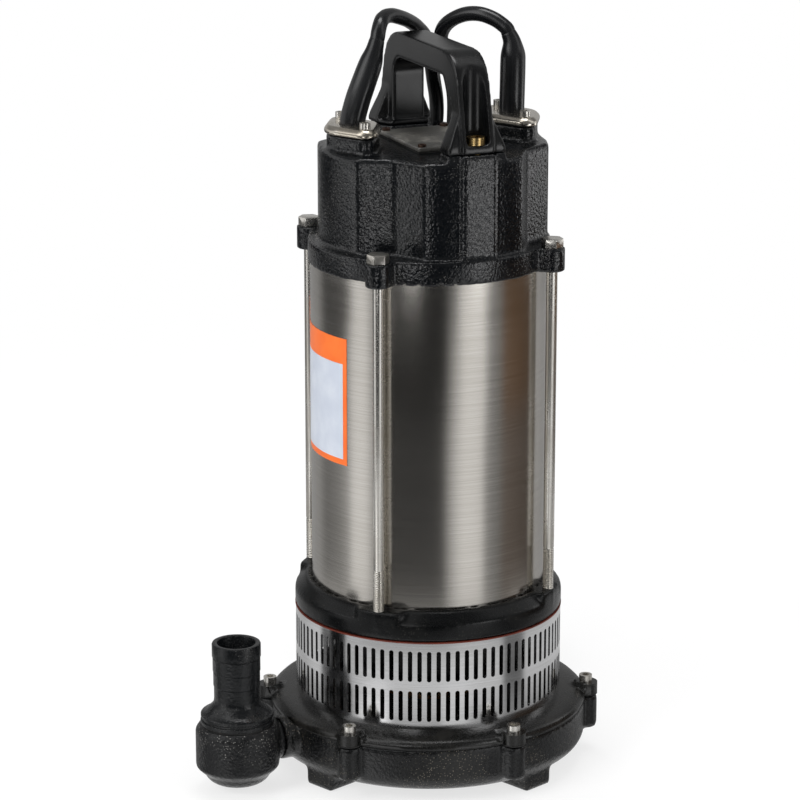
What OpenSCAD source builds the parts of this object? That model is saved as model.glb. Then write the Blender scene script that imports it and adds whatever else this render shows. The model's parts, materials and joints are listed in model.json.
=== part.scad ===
// Submersible sump pump: a canned motor over an oil chamber, a slotted strainer and a
// volute casing on four feet, with an elbow and a hose tail at its side.
// The pump axis is the Z axis, the feet stand on z = 0 and the front faces -Y.

/* [Casing] */
// Height of the feet under the casing
foot_h = 9; // [6:0.5:16]
// Width of each foot
foot_w = 24; // [16:1:32]
// Radial depth of each foot
foot_depth = 30; // [22:1:40]
// Outside radius of the volute casing
casing_r = 109.3; // [100:0.5:125]
// Height of the volute casing without its feet
casing_h = 31; // [26:0.5:38]
// Wall and floor thickness of the casting
casing_wall = 6.5; // [4:0.5:9]
// Rounding of the casing's lower edge
casing_round = 12; // [6:0.5:16]
// Thickness of the casing gasket
casing_gasket_t = 0.8; // [0.5:0.1:1.5]
// Thickness of the casing cover
casing_cover_t = 7.6; // [6:0.2:12]
// Radius of the circle of the casing screws
casing_screw_pcr = 110; // [106:0.5:118]
// Number of casing screws
casing_screw_n = 6; // [4:1:8]
// Turn of the first casing screw from the front
casing_screw_turn = 1; // [-6:0.5:6]

/* [Strainer] */
// Outside radius of the strainer
strainer_r = 91.5; // [86:0.5:96]
// Height of the strainer
strainer_h = 60.9; // [48:0.1:80]
// Sheet thickness of the strainer
strainer_t = 1.5; // [1:0.1:2.5]
// Number of slots in each row
slot_n = 90; // [60:2:100]
// Width of a slot
slot_w = 3; // [2:0.1:3.6]
// Length of a slot
slot_len = 21.5; // [12:0.5:23]

/* [Motor] */
// Outside radius of the motor shell
shell_r = 80; // [76:0.5:84]
// Wall of the motor shell
shell_wall = 2.5; // [1.5:0.1:3.5]
// Length of the shell that shows between the castings
shell_show = 220.7; // [180:0.1:300]
// Outside radius of the lower housing
housing_r = 91.8; // [88:0.1:96]
// Height of the straight rim of the lower housing
housing_rim_h = 11.7; // [8:0.1:16]
// Height of the sloping shoulder above that rim
housing_slope_h = 8.2; // [5:0.1:12]
// Radius of the circle of the tie bolts
tie_pcr = 88; // [87:0.5:92]
// Radius of the tie bolts
tie_r = 3.7; // [3:0.1:4.2]
// Turn of the cover, and of the first tie bolt, from the front
clock = 22.5; // [0:0.5:45]
// Length of the stator stack
stator_h = 120; // [90:1:140]
// Outside radius of the rotor stack
rotor_r = 42; // [34:0.5:48]
// Radial air gap between rotor and stator
air_gap = 0.5; // [0.4:0.1:1]

/* [Shaft] */
// Radius of the shaft through the seal
shaft_r = 9; // [8:0.1:9.4]
// Radius of the shaft's bearing seats
seat_r = 10; // [9.5:0.1:11]
// Radius of the shaft under the rotor stack
core_r = 14; // [12:0.5:16]
// Radius of the shaft at the impeller
wheel_seat_r = 8; // [7:0.1:8.6]
// Radius of the thread under the impeller
nut_seat_r = 6; // [5:0.1:6.6]

/* [Bearings] */
// Outside radius of the lower bearing
lower_bearing_r = 26; // [24:0.5:28]
// Width of the lower bearing
lower_bearing_w = 15; // [13:0.5:17]
// Outside radius of the upper bearing
upper_bearing_r = 23.5; // [22:0.5:26]
// Width of the upper bearing
upper_bearing_w = 14; // [12:0.5:16]
// Number of balls in each bearing
ball_n = 8; // [6:1:8]

/* [Impeller] */
// Outside radius of the impeller
impeller_r = 72; // [60:0.5:74]
// Height of the vanes
vane_h = 8; // [6:0.5:9]
// Number of vanes
vane_n = 6; // [4:1:7]
// Thickness of the vanes
vane_t = 3; // [2:0.5:4]
// Outside radius of the impeller's eye collar
eye_r = 30; // [26:0.5:34]

/* [Cover] */
// Outside radius of the top cover's flange
flange_r = 81.5; // [80.6:0.1:84]
// Thickness of that flange
flange_h = 16.3; // [12:0.1:20]
// Radius of the cover's upper body
body_r = 77; // [74:0.5:79]
// Height of the upper body above the flange
body_h = 64; // [50:0.5:80]
// Sideways offset of the upper body from the motor axis
body_shift = 2.5; // [0:0.1:3]
// Width of the pillars under the handle
pillar_w = 24; // [18:0.5:30]
// Distance of the front pillar's face from the axis
pillar_front = 78.5; // [77:0.5:80]
// Depth of the pockets beside the tie bolts, from the axis
pocket_r = 67; // [65:0.5:70]
// Half the angle that a pocket takes
pocket_half = 18; // [14:0.5:22]
// Length of the access plate under the handle
access_len = 70; // [60:1:72]
// Width of the access plate
access_w = 50; // [40:1:56]
// Thickness of the access plate
access_t = 3; // [2:0.2:5]

/* [Handle] */
// Height of the handle above the cover's pillars
handle_h = 64; // [50:0.5:90]
// Width of the handle
handle_w = 23; // [18:0.5:28]
// Thickness of the handle's bar and legs
handle_t = 17; // [12:0.5:20]
// Distance between the inner faces of its legs
grip_len = 92; // [84:1:96]
// Offset of the handle towards the front
handle_offset = 4; // [0:0.5:6]
// Outer corner radius of the handle
handle_round = 24; // [18:0.5:28]
// Inner corner radius of the handle
grip_round = 12; // [6:0.5:16]
// Thickness of the handle's bolted feet
handle_foot_t = 6; // [4:0.5:8]

/* [Cable glands] */
// Distance of each gland from the axis
gland_at = 57.4; // [55:0.2:60]
// Distance between the two screws of a gland
gland_screw_gap = 43; // [38:0.5:46]
// Radius of the gland's round middle
gland_r = 19; // [17:0.5:20]
// Height of the cast pad under a gland plate
gland_pad_h = 11; // [8:0.5:14]
// Thickness of the gland plate
gland_plate_t = 5.5; // [4:0.5:7]
// Radius of the rubber sleeve
sleeve_r = 8.4; // [7:0.1:9]
// Radius of each lead
lead_r = 5; // [4:0.1:5]

/* [Outlet] */
// Turn of the outlet from the front, towards the left
outlet_turn = 60.4; // [50:0.1:62]
// Distance of the elbow's upright from the pump axis
outlet_at = 148.8; // [146:0.1:160]
// Height of the outlet's level run
outlet_z = 30; // [28:0.1:32]
// Outside radius of the elbow's socket
elbow_r = 28.3; // [26:0.1:32]
// Height of the elbow's rim above the floor
elbow_top = 47; // [46:0.1:52]
// Outside radius of the level neck
neck_r = 15; // [14:0.1:16]
// Bore radius of the level neck
neck_bore_r = 10.8; // [8:0.1:11.5]
// Radius of the hose tail's largest land
tail_r = 16.5; // [15:0.1:18]
// Bore radius of the hose tail
tail_bore_r = 12.8; // [10:0.1:13.4]
// Radius of the hose tail's collar
tail_collar_r = 24.8; // [22:0.1:26]
// Height of the hose tail above its collar
tail_h = 49.5; // [40:0.5:70]
// Number of lands on the hose tail
land_n = 3; // [2:1:4]
// Height of each land
land_h = 10; // [8:0.5:11]

/* [Fits] */
// Radial clearance of a fixed piece in its seat
seat_gap = 0.02; // [0.01:0.01:0.05]
// Radial clearance of a turning or screwed fit
run_gap = 0.05; // [0.02:0.01:0.1]
// Clearance round a turning piece that touches nothing
free_gap = 0.4; // [0.3:0.1:1]
// Clearance of a screw in its hole
screw_gap = 0.3; // [0.1:0.1:0.5]

/* [Leads] */
// Turns in each coiled lead
coil_turns = 11.5; // [7.5:1:11.5]
// Layers in each coil
coil_layers = 4; // [2:2:4]
// Middle radius of the coil
coil_mid_r = 60; // [55:1:70]
// Least gap between neighbouring turns
turn_gap = 0.6; // [0.5:0.1:1]

/* [Hidden] */
$fn = 64;
eps = 0.01;
over = 1;

// Levels, from the floor up
casing_top = foot_h + casing_h;
cover_z = casing_top + casing_gasket_t;
deck_z = cover_z + casing_cover_t;
strainer_top = deck_z + strainer_h;
red_gasket_t = 0.8;
housing_z = strainer_top + red_gasket_t;
rim_top = housing_z + housing_rim_h;
shoulder_top = rim_top + housing_slope_h;
shell_seat_depth = 5.5;
shell_z = shoulder_top - shell_seat_depth;
flange_z = shoulder_top + shell_show;
shell_top = flange_z + shell_seat_depth;
flange_top = flange_z + flange_h;
roof_z = flange_top + body_h;
pillar_top = roof_z + 5;
pad_top = roof_z + gland_pad_h;
handle_top = pillar_top + handle_h;

// Inside levels
casing_floor = foot_h + casing_wall;
nut_h = 5.5;
floor_gap = 0.8;
hub_plate_t = 3;
shroud_t = 3;
wheel_z = casing_floor + nut_h + 2 * floor_gap;
vane_z = wheel_z + hub_plate_t;
shroud_z = vane_z + vane_h;
eye_top = shroud_z + shroud_t + 6;
hub_top = eye_top - 3;
seal_plate_z = deck_z + 13.6;
seal_plate_t = 4;
chamber_r = 41;
chamber_wall = 5;
lower_bearing_z = housing_z + 8;
rotor_mid = (shoulder_top + flange_z) / 2;
rotor_z = rotor_mid - stator_h / 2;
winding_h = 25;
end_ring_h = 8;
upper_bearing_z = flange_z - 7.7;
partition_z = flange_z + 1.3;
partition_t = 10;
shaft_top = upper_bearing_z + upper_bearing_w;
spigot_r = shell_r - shell_wall - 0.3;
spigot_wall = 7;
spigot_h = 8.7;
groove_rise = 4.5;

// Wear ring, running fit on the impeller's eye collar
wear_gap = 0.3;
wear_r = eye_r + 4;

casing_screw_r = 2.5;
casing_boss_r = 8.3;
rod_angles = [-clock, 90 - clock, 180 - clock, 270 - clock];
foot_angles = [-135, -45, 45, 135];
pillar_angles = foot_angles;
standoff_r = 7;
standoff_at = 76;
gland_lobe_r = 8.5;
neck_face = outlet_at - elbow_r - 1.5;

// ---------------------------------------------------------------- shared shapes

// Ring with a square section
module ring(r_out, r_in, h) {
    difference() {
        cylinder(h = h, r = r_out);
        translate([0, 0, -over]) cylinder(h = h + 2 * over, r = r_in);
    }
}

module lift(z) {
    translate([0, 0, z]) children();
}

// Places a piece at a radius, at an angle from the front (-Y) towards +X
module around(angle, r) {
    rotate([0, 0, angle]) translate([0, -r, 0]) children();
}

// Rectangle with round corners, from low corner to high corner
module rounded_area(x0, y0, x1, y1, r) {
    translate([x0 + r, y0]) square([x1 - x0 - 2 * r, y1 - y0]);
    translate([x0, y0 + r]) square([x1 - x0, y1 - y0 - 2 * r]);
    for (x = [x0 + r, x1 - r], y = [y0 + r, y1 - r]) translate([x, y]) circle(r);
}

// Half section with a round outer lower corner, to be turned about the axis
module bowl_area(r, z0, z1, corner) {
    translate([0, z0]) square([r - corner, z1 - z0]);
    translate([0, z0 + corner]) square([r, z1 - z0 - corner]);
    translate([r - corner, z0 + corner]) circle(corner);
}

// Socket-head screw, its head standing on z = 0
module socket_screw(shank_r, shank_len, head_r, head_h) {
    difference() {
        union() {
            cylinder(h = head_h, r = head_r);
            lift(-shank_len) cylinder(h = shank_len + eps, r = shank_r);
        }
        lift(head_h * 0.45) cylinder(h = head_h, r = head_r * 0.58, $fn = 6);
    }
}

// Hexagon head on z = 0, given across its flats
module hex_head(flats, h) {
    intersection() {
        cylinder(h = h, r = flats / sqrt(3), $fn = 6);
        cylinder(h = h, r1 = flats * 0.66, r2 = flats * 0.53);
    }
}

// Everything above the flange is turned with the cover and shifted a little
module on_cover() {
    translate([body_shift, 0, 0]) rotate([0, 0, clock]) children();
}

// ---------------------------------------------------------------- casing

module casing_bosses(z, h) {
    for (i = [0 : casing_screw_n - 1])
        around(casing_screw_turn + i * 360 / casing_screw_n - 30, casing_screw_pcr)
            lift(z) cylinder(h = h, r = casing_boss_r);
}

module casing_holes(z, h, r) {
    for (i = [0 : casing_screw_n - 1])
        around(casing_screw_turn + i * 360 / casing_screw_n - 30, casing_screw_pcr)
            lift(z) cylinder(h = h, r = r);
}

module level_bore(r, from, to) {
    around(-outlet_turn, from) lift(outlet_z) rotate([90, 0, 0]) cylinder(h = to - from, r = r);
}

spigot_len = 9;
socket_r = neck_bore_r + 1.3;
foot_out_r = casing_r - 3.3;
cutwater_t = 5;
cutwater_turn = 24;
casing_boss_drop = 24;
// The bosses stand back this much from the machined joint faces
boss_relief = 0.2;

module volute_casing() {
    color("#2f3133") {
        difference() {
            union() {
                rotate_extrude() bowl_area(casing_r, foot_h, casing_top, casing_round);
                casing_bosses(casing_top - casing_boss_drop, casing_boss_drop - boss_relief);
                difference() {
                    level_bore(neck_r, casing_r - 2 * casing_wall, neck_face);
                    lift(casing_top) cylinder(h = deck_z, r = casing_screw_pcr + 0.6);
                }
                for (a = foot_angles) around(a, foot_out_r)
                    translate([-foot_w / 2, 0, 0]) cube([foot_w, foot_depth, casing_floor - 0.5]);
            }
            rotate_extrude()
                bowl_area(casing_r - casing_wall, casing_floor, casing_top + over, casing_round - 2);
            level_bore(neck_bore_r, casing_r - 3 * casing_wall, neck_face + over);
            level_bore(socket_r + run_gap, neck_face - spigot_len - 0.5, neck_face + over);
            casing_holes(casing_floor + 4, casing_h, casing_screw_r);
        }
        cutwater();
    }
}

// Rib that parts the outgoing stream from the wheel
module cutwater() {
    inner = impeller_r + 6;
    around(cutwater_turn - outlet_turn - 60, (inner + casing_r - casing_wall) / 2)
        lift(casing_floor - 0.5)
            translate([-cutwater_t / 2, (inner - casing_r + casing_wall) / 2 - 1, 0])
                cube([cutwater_t, casing_r - casing_wall - inner + 1, casing_h - casing_wall - 2]);
}

module casing_gasket() {
    color("#1c1c1c") lift(casing_top) difference() {
        union() {
            cylinder(h = casing_gasket_t, r = casing_r);
            casing_bosses(0, casing_gasket_t);
        }
        lift(-over) cylinder(h = 3 * over, r = casing_r - casing_wall);
        casing_holes(-over, 3 * over, casing_screw_r + screw_gap);
    }
}

cover_slope_r = 104;
cover_slope_drop = 2;
cover_edge_drop = 5.5;

module casing_cover() {
    color("#34352f") difference() {
        union() {
            rotate_extrude() polygon([
                [0, cover_z], [casing_r, cover_z], [casing_r, deck_z - cover_edge_drop],
                [cover_slope_r + 3, deck_z - cover_slope_drop - 1.2],
                [cover_slope_r, deck_z - cover_slope_drop], [strainer_r + 1, deck_z], [0, deck_z]
            ]);
            casing_bosses(cover_z + boss_relief, casing_cover_t - boss_relief);
        }
        lift(cover_z - over) cylinder(h = casing_cover_t + 2 * over, r = wear_r + seat_gap);
        casing_holes(cover_z - over, casing_cover_t + 2 * over, casing_screw_r + screw_gap);
        for (a = pillar_angles) around(a, standoff_at) {
            lift(cover_z - over) cylinder(h = casing_cover_t + 2 * over, r = pillar_screw_r + screw_gap);
            lift(cover_z - over) cylinder(h = pillar_head_h + over, r = pillar_head_r + screw_gap);
        }
    }
}

pillar_screw_r = 3;
pillar_head_r = 5;
pillar_head_h = 3.5;
pillar_screw_len = 17;

// Screws from under the casing cover into the lower housing's pillars
module pillar_screws() {
    color("#c9c9c6") for (a = pillar_angles) around(a, standoff_at)
        lift(cover_z + pillar_head_h) rotate([180, 0, 0])
            socket_screw(pillar_screw_r - seat_gap, pillar_screw_len, pillar_head_r, pillar_head_h - 0.2);
}

module casing_screws() {
    color("#c9c9c6") for (i = [0 : casing_screw_n - 1])
        around(casing_screw_turn + i * 360 / casing_screw_n - 30, casing_screw_pcr)
            lift(deck_z) socket_screw(casing_screw_r - seat_gap, casing_cover_t + 14, 4.5, 5);
}

module wear_ring() {
    color("#a8873e") lift(cover_z) ring(wear_r, eye_r + wear_gap, casing_cover_t);
}

// ---------------------------------------------------------------- impeller

// Backward curved vane, as points along its two sides
vane_steps = 10;
vane_in_r = 24;
vane_sweep = 70;
function vane_point(t, side) =
    let (r = vane_in_r + t * (impeller_r - 1 - vane_in_r), a = vane_sweep * t)
    [r * sin(a) + side * cos(a + 50), -r * cos(a) + side * sin(a + 50)];

module vane() {
    polygon(concat(
        [for (i = [0 : vane_steps]) vane_point(i / vane_steps, vane_t / 2)],
        [for (i = [vane_steps : -1 : 0]) vane_point(i / vane_steps, -vane_t / 2)]
    ));
}

hub_r = 14;
key_w = 5;

module impeller() {
    color("#b0913f") difference() {
        union() {
            lift(wheel_z) cylinder(h = hub_plate_t, r = impeller_r);
            lift(wheel_z) cylinder(h = hub_top - wheel_z, r = hub_r);
            for (i = [0 : vane_n - 1]) rotate([0, 0, i * 360 / vane_n])
                lift(vane_z - eps) linear_extrude(vane_h + 2 * eps) vane();
            lift(shroud_z) ring(impeller_r, eye_r - 4, shroud_t);
            lift(shroud_z) ring(eye_r, eye_r - 4, eye_top - shroud_z);
        }
        lift(wheel_z - over) cylinder(h = eye_top, r = wheel_seat_r + seat_gap);
        key_room(seat_gap);
    }
}

// Room of the key, between shaft and hub
module key_room(gap) {
    translate([-key_w / 2 - gap, -wheel_seat_r - 2.5 - gap, wheel_z + 2 - gap])
        cube([key_w + 2 * gap, 5 + gap, 14 + 2 * gap]);
}

module impeller_key() {
    color("#8d8f92") key_room(0);
}

module impeller_nut() {
    color("#c9c9c6") lift(wheel_z - nut_h) difference() {
        cylinder(h = nut_h, r = 10, $fn = 6);
        lift(-over) cylinder(h = nut_h + 2 * over, r = nut_seat_r + seat_gap);
    }
}

// ---------------------------------------------------------------- strainer

slot_rows = [deck_z + 5.6 + slot_len / 2, strainer_top - 5.6 - slot_len / 2];

module slot_area() {
    square([slot_w, slot_len - slot_w], center = true);
    for (s = [-1, 1]) translate([0, s * (slot_len - slot_w) / 2]) circle(slot_w / 2);
}

module strainer() {
    color("#d5d5d3") difference() {
        lift(deck_z) ring(strainer_r, strainer_r - strainer_t, strainer_h);
        for (z = slot_rows, i = [0 : slot_n - 1])
            around(i * 360 / slot_n, strainer_r - strainer_t - over) lift(z) rotate([90, 0, 0])
                linear_extrude(strainer_t + 2 * over) slot_area();
    }
}

module strainer_gasket() {
    color("#b8432b") lift(strainer_top)
        ring(strainer_r + 0.4, strainer_r - 3.5, red_gasket_t);
}

// ---------------------------------------------------------------- lower housing

lug_r = 8.5;
lug_drop = 0.5;
seal_groove = 2.2;
oring_r = 1.7;

// The bolts are turned down below the pads
stud_r = 2.7;
stud_top = shoulder_top - lug_drop;

// Flat pads on the shoulder that take the tie bolts, flush with the rim
module tie_pads() {
    lift(housing_z) intersection() {
        cylinder(h = stud_top - housing_z, r = housing_r);
        for (a = rod_angles) around(a, housing_r) linear_extrude(2 * housing_rim_h)
            polygon([[-14.6, -over], [14.6, -over], [18.6, 10.5], [-18.6, 10.5]]);
    }
}

// Ring that centres the shell, with a groove for its seal
module spigot(low, high, groove_z) {
    difference() {
        lift(low) ring(spigot_r, spigot_r - spigot_wall, high - low);
        lift(groove_z - seal_groove) ring(spigot_r + over, spigot_r - 2 * oring_r, 2 * seal_groove);
    }
}

module lower_housing() {
    color("#26282a") difference() {
        union() {
            lift(housing_z) cylinder(h = housing_rim_h, r = housing_r);
            lift(rim_top) cylinder(h = housing_slope_h, r1 = housing_r, r2 = shell_r + 4);
            tie_pads();
            lift(seal_plate_z + seal_plate_t)
                cylinder(h = housing_z - seal_plate_z - seal_plate_t + eps, r = chamber_r + chamber_wall);
            lift(housing_z) cylinder(h = lower_bearing_z + lower_bearing_w - housing_z, r = lower_bearing_r + 7);
            for (a = pillar_angles) around(a, standoff_at)
                lift(deck_z) cylinder(h = housing_z - deck_z + eps, r = standoff_r);
            spigot(shell_z - over, shoulder_top + spigot_h, shoulder_top + groove_rise);
        }
        // Room inside the spigot, round the bearing hub
        lift(rim_top - 2) ring(spigot_r - spigot_wall, lower_bearing_r + 7, shoulder_top);
        // Seat of the shell
        lift(shell_z) ring(shell_r + seat_gap, spigot_r, shoulder_top);
        // Oil chamber and bearing seats
        lift(deck_z) cylinder(h = housing_z - 6 - deck_z, r = chamber_r);
        lift(deck_z) cylinder(h = lower_bearing_z - deck_z + over, r = lip_r + seat_gap);
        lift(lower_bearing_z) cylinder(h = lower_bearing_w + over, r = lower_bearing_r + seat_gap);
        for (a = rod_angles) around(a, tie_pcr) lift(housing_z + 3) cylinder(h = 30, r = stud_r + seat_gap);
        for (a = pillar_angles) around(a, standoff_at)
            lift(deck_z - over) cylinder(h = pillar_screw_len, r = pillar_screw_r);
    }
}

module seal_plate() {
    color("#34352f") lift(seal_plate_z) difference() {
        cylinder(h = seal_plate_t, r = chamber_r + chamber_wall);
        lift(-over) cylinder(h = seal_plate_t + 2 * over, r = seat_ring_r + seat_gap);
        translate([0, -28, -over]) cylinder(h = seal_plate_t + 2 * over, r = plug_r + seat_gap);
    }
}

plug_r = 5;
seat_ring_r = 15;
lip_r = 20;
lip_h = 7;
seal_run_z = seal_plate_z + seal_plate_t + 1;
seal_ring_h = 6;
bellows_h = 18;

module oil_plug() {
    color("#a8873e") translate([0, -28, seal_plate_z - 3]) {
        cylinder(h = 3, r = plug_r + 2, $fn = 6);
        cylinder(h = 3 + seal_plate_t, r = plug_r);
    }
}

module seal_seat() {
    color("#e6e3da") lift(seal_plate_z) ring(seat_ring_r, shaft_r + free_gap, seal_plate_t + 1 - 0.1);
}

module seal_ring() {
    color("#2a2a2a") lift(seal_run_z) ring(seat_ring_r - 2, shaft_r + seat_gap, seal_ring_h);
}

// Rubber bellows that drives the seal ring
module seal_bellows() {
    folds = 3;
    fold_h = bellows_h / folds;
    color("#1d1d1d") lift(seal_run_z + seal_ring_h) rotate_extrude() polygon(concat(
        [[shaft_r + seat_gap, 0], [seat_ring_r - 3, 0]],
        [for (i = [0 : folds - 1], j = [0.5, 1])
            [seat_ring_r - (j < 1 ? 1 : 3), (i + j) * fold_h]],
        [[shaft_r + seat_gap, bellows_h]]
    ));
}

module lip_seal() {
    color("#1d1d1d") lift(housing_z - 6) ring(lip_r, shaft_r + run_gap, lip_h);
}

// ---------------------------------------------------------------- bearings and rotor

race_t = 4.5;
ball_gap = 0.25;
cage_h = 5.4;
cage_t = 3.2;

// Balls sit midway between the races
function ball_circle(outer) = (seat_r + outer) / 2;
function ball_size(outer) = (outer - seat_r) / 2 - race_t + 1.2;

module race(outer, w, inner_side) {
    difference() {
        if (inner_side) ring(seat_r + race_t, seat_r + seat_gap, w);
        else ring(outer, outer - race_t, w);
        lift(w / 2) rotate_extrude() translate([ball_circle(outer), 0])
            circle(ball_size(outer) + ball_gap);
    }
}

module ball_cage(outer, w) {
    lift(w / 2) {
        for (i = [0 : ball_n - 1])
            around(i * 360 / ball_n, ball_circle(outer)) rotate([0, 0, 90]) sphere(ball_size(outer));
        lift(-cage_h / 2) ring(ball_circle(outer) + cage_t / 2, ball_circle(outer) - cage_t / 2, cage_h);
    }
}

module lower_outer_race() {
    color("#b9bbbe") lift(lower_bearing_z) race(lower_bearing_r, lower_bearing_w, false);
}

module lower_inner_race() {
    color("#b9bbbe") lift(lower_bearing_z) race(lower_bearing_r, lower_bearing_w, true);
}

module lower_ball_cage() {
    color("#9a9ca0") lift(lower_bearing_z) ball_cage(lower_bearing_r, lower_bearing_w);
}

module upper_outer_race() {
    color("#b9bbbe") lift(upper_bearing_z) race(upper_bearing_r, upper_bearing_w, false);
}

module upper_inner_race() {
    color("#b9bbbe") lift(upper_bearing_z) race(upper_bearing_r, upper_bearing_w, true);
}

module upper_ball_cage() {
    color("#9a9ca0") lift(upper_bearing_z) ball_cage(upper_bearing_r, upper_bearing_w);
}

washer_t = 1.2;

module wave_washer() {
    color("#8d8f92") lift(upper_bearing_z + upper_bearing_w)
        ring(upper_bearing_r - 0.5, upper_bearing_r - 4, washer_t);
}

module shaft() {
    color("#b4b6b8") difference() {
        union() {
            lift(wheel_z - nut_h) cylinder(h = nut_h + eps, r = nut_seat_r);
            lift(wheel_z) cylinder(h = hub_top - wheel_z + eps, r = wheel_seat_r);
            lift(hub_top) cylinder(h = lower_bearing_z - hub_top + eps, r = shaft_r);
            lift(lower_bearing_z) cylinder(h = shaft_top - lower_bearing_z, r = seat_r);
            lift(lower_bearing_z + lower_bearing_w)
                cylinder(h = upper_bearing_z - lower_bearing_z - lower_bearing_w, r = core_r - 1.5);
            lift(rotor_z - end_ring_h) cylinder(h = stator_h + 2 * end_ring_h, r = core_r);
        }
        key_room(seat_gap);
    }
}

module rotor_core() {
    color("#6d6f73") lift(rotor_z) ring(rotor_r, core_r + seat_gap, stator_h);
}

module rotor_end_rings() {
    color("#b9bbbe") for (z = [rotor_z - end_ring_h, rotor_z + stator_h])
        lift(z) ring(rotor_r - 3, core_r + 8, end_ring_h);
}

// ---------------------------------------------------------------- stator and shell

module stator_core() {
    color("#5e6064") lift(rotor_z)
        ring(shell_r - shell_wall - seat_gap, rotor_r + air_gap, stator_h);
}

module stator_windings() {
    color("#9a5a2c") for (z = [rotor_z - winding_h, rotor_z + stator_h])
        lift(z) rotate_extrude() rounded_area(rotor_r + 5, 0, shell_r - shell_wall - 6, winding_h, 5);
}

module motor_shell() {
    color("#c4c1ba") lift(shell_z) ring(shell_r, shell_r - shell_wall, shell_top - shell_z);
}

module shell_seals() {
    color("#1d1d1d") for (z = [shoulder_top + groove_rise, flange_z - groove_rise])
        lift(z) rotate_extrude() translate([spigot_r + 0.3 - oring_r - seat_gap, 0]) circle(oring_r);
}

// ---------------------------------------------------------------- top cover

// Pocket that leaves room for a tie bolt and a spanner
module pocket(half_w) {
    polygon([
        [0, -pocket_r], [half_w, -body_r * cos(pocket_half)], [half_w, -2 * body_r],
        [-half_w, -2 * body_r], [-half_w, -body_r * cos(pocket_half)]
    ]);
}

module body_area() {
    difference() {
        union() {
            circle(body_r, $fn = 128);
            for (s = [-1, 1]) translate([-pillar_w / 2, s > 0 ? 0 : -pillar_front])
                square([pillar_w, pillar_front]);
        }
        for (a = [-45, 45, 135, -135]) rotate(a) pocket(body_r * sin(pocket_half));
    }
}

module gland_area(grow) {
    hull() {
        circle(gland_r + grow);
        for (s = [-1, 1]) translate([0, s * gland_screw_gap / 2]) circle(gland_lobe_r + grow);
    }
}

window_len = access_len - 16;
window_w = access_w - 14;
cavity_r = 60;
roof_t = 6;
gland_bore_r = 11;
entry_r = 6;
gland_sides = [-1, 1];

module top_cover() {
    color("#1b1c1e") difference() {
        union() {
            lift(flange_z) cylinder(h = flange_h, r = flange_r);
            for (a = rod_angles) around(a, 0) {
                translate([0, -tie_pcr, flange_z]) cylinder(h = flange_h, r = lug_r);
                translate([-lug_r, -tie_pcr, flange_z]) cube([2 * lug_r, tie_pcr - 60, flange_h]);
            }
            spigot(flange_z - spigot_h, flange_z + over, flange_z - groove_rise);
            lift(upper_bearing_z) cylinder(h = partition_z - upper_bearing_z + eps, r = upper_bearing_r + 7);
            on_cover() {
                lift(flange_top - over) linear_extrude(body_h + over) body_area();
                for (s = gland_sides) translate([s * gland_at, 0, roof_z - over])
                    linear_extrude(gland_pad_h + over) gland_area(-1.5);
                for (y = [-pillar_front, pillar_inner])
                    translate([-pillar_w / 2, y, roof_z - over])
                        cube([pillar_w, pillar_front - pillar_inner, pillar_top - roof_z + over]);
                for (s = [0, 180]) lift(roof_z - over) linear_extrude(pillar_top - roof_z + over)
                    intersection() {
                        circle(body_r);
                        translate([0, -handle_offset]) rotate(s) foot_area();
                    }
            }
        }
        // Seat of the shell
        lift(flange_z - over) ring(shell_r + seat_gap, spigot_r, shell_seat_depth + over);
        // Motor side: bell and bearing seat
        lift(flange_z - spigot_h - over)
            ring(spigot_r - spigot_wall, upper_bearing_r + 7, partition_z - flange_z + spigot_h + over);
        lift(upper_bearing_z - over)
            cylinder(h = upper_bearing_w + washer_t + over, r = upper_bearing_r + seat_gap);
        // Terminal room and its window
        on_cover() {
            lift(partition_z + partition_t)
                cylinder(h = roof_z - roof_t - partition_z - partition_t, r = cavity_r);
            lift(roof_z - roof_t - over) linear_extrude(roof_t + 2 * over)
                translate([-window_w / 2, -window_len / 2]) square([window_w, window_len]);
            for (s = gland_sides) translate([s * gland_at, 0, roof_z - over]) {
                cylinder(h = gland_pad_h + 2 * over, r = gland_bore_r + seat_gap);
                for (t = [-1, 1]) translate([0, t * gland_screw_gap / 2, 0])
                    cylinder(h = gland_pad_h + 2 * over, r = gland_screw_r);
            }
            for (s = gland_sides) translate([s * (gland_at - 4.5), 0, roof_z - roof_t - over])
                cylinder(h = roof_t + over, r = entry_r);
            for (y = handle_bolt_at) translate([0, y, pillar_top - 24])
                cylinder(h = 24 + over, r = handle_bolt_r);
            for (x = [-1, 1], y = [-1, 1]) translate([x * access_screw_x, y * access_screw_y, roof_z - 5])
                cylinder(h = 5 + over, r = access_screw_r);
        }
        // Wires go down to the motor here
        translate([0, 44, partition_z - over]) cylinder(h = partition_t + 2 * over, r = 5);
        for (a = rod_angles) around(a, tie_pcr)
            lift(flange_z - over) cylinder(h = flange_h + 2 * over, r = tie_r + screw_gap);
    }
}

pillar_inner = 44;
gland_screw_r = 2;
access_screw_r = 1.5;
access_screw_x = access_w / 2 - 4;
access_screw_y = access_len / 2 - 4;
access_gasket_t = 0.8;

tie_head_flats = 13;
tie_head_h = 6;

module tie_bolts() {
    color("#bfbdb6") for (a = rod_angles) around(a, tie_pcr) {
        lift(flange_top) hex_head(tie_head_flats, tie_head_h);
        lift(stud_top) cylinder(h = flange_top - stud_top + eps, r = tie_r);
        lift(housing_z + 4) cylinder(h = stud_top - housing_z - 4 + eps, r = stud_r);
    }
}

module access_outline(t) {
    difference() {
        linear_extrude(t) translate([-access_w / 2, -access_len / 2]) square([access_w, access_len]);
        for (x = [-1, 1], y = [-1, 1]) translate([x * access_screw_x, y * access_screw_y, -over])
            cylinder(h = t + 2 * over, r = access_screw_r + screw_gap);
    }
}

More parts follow.
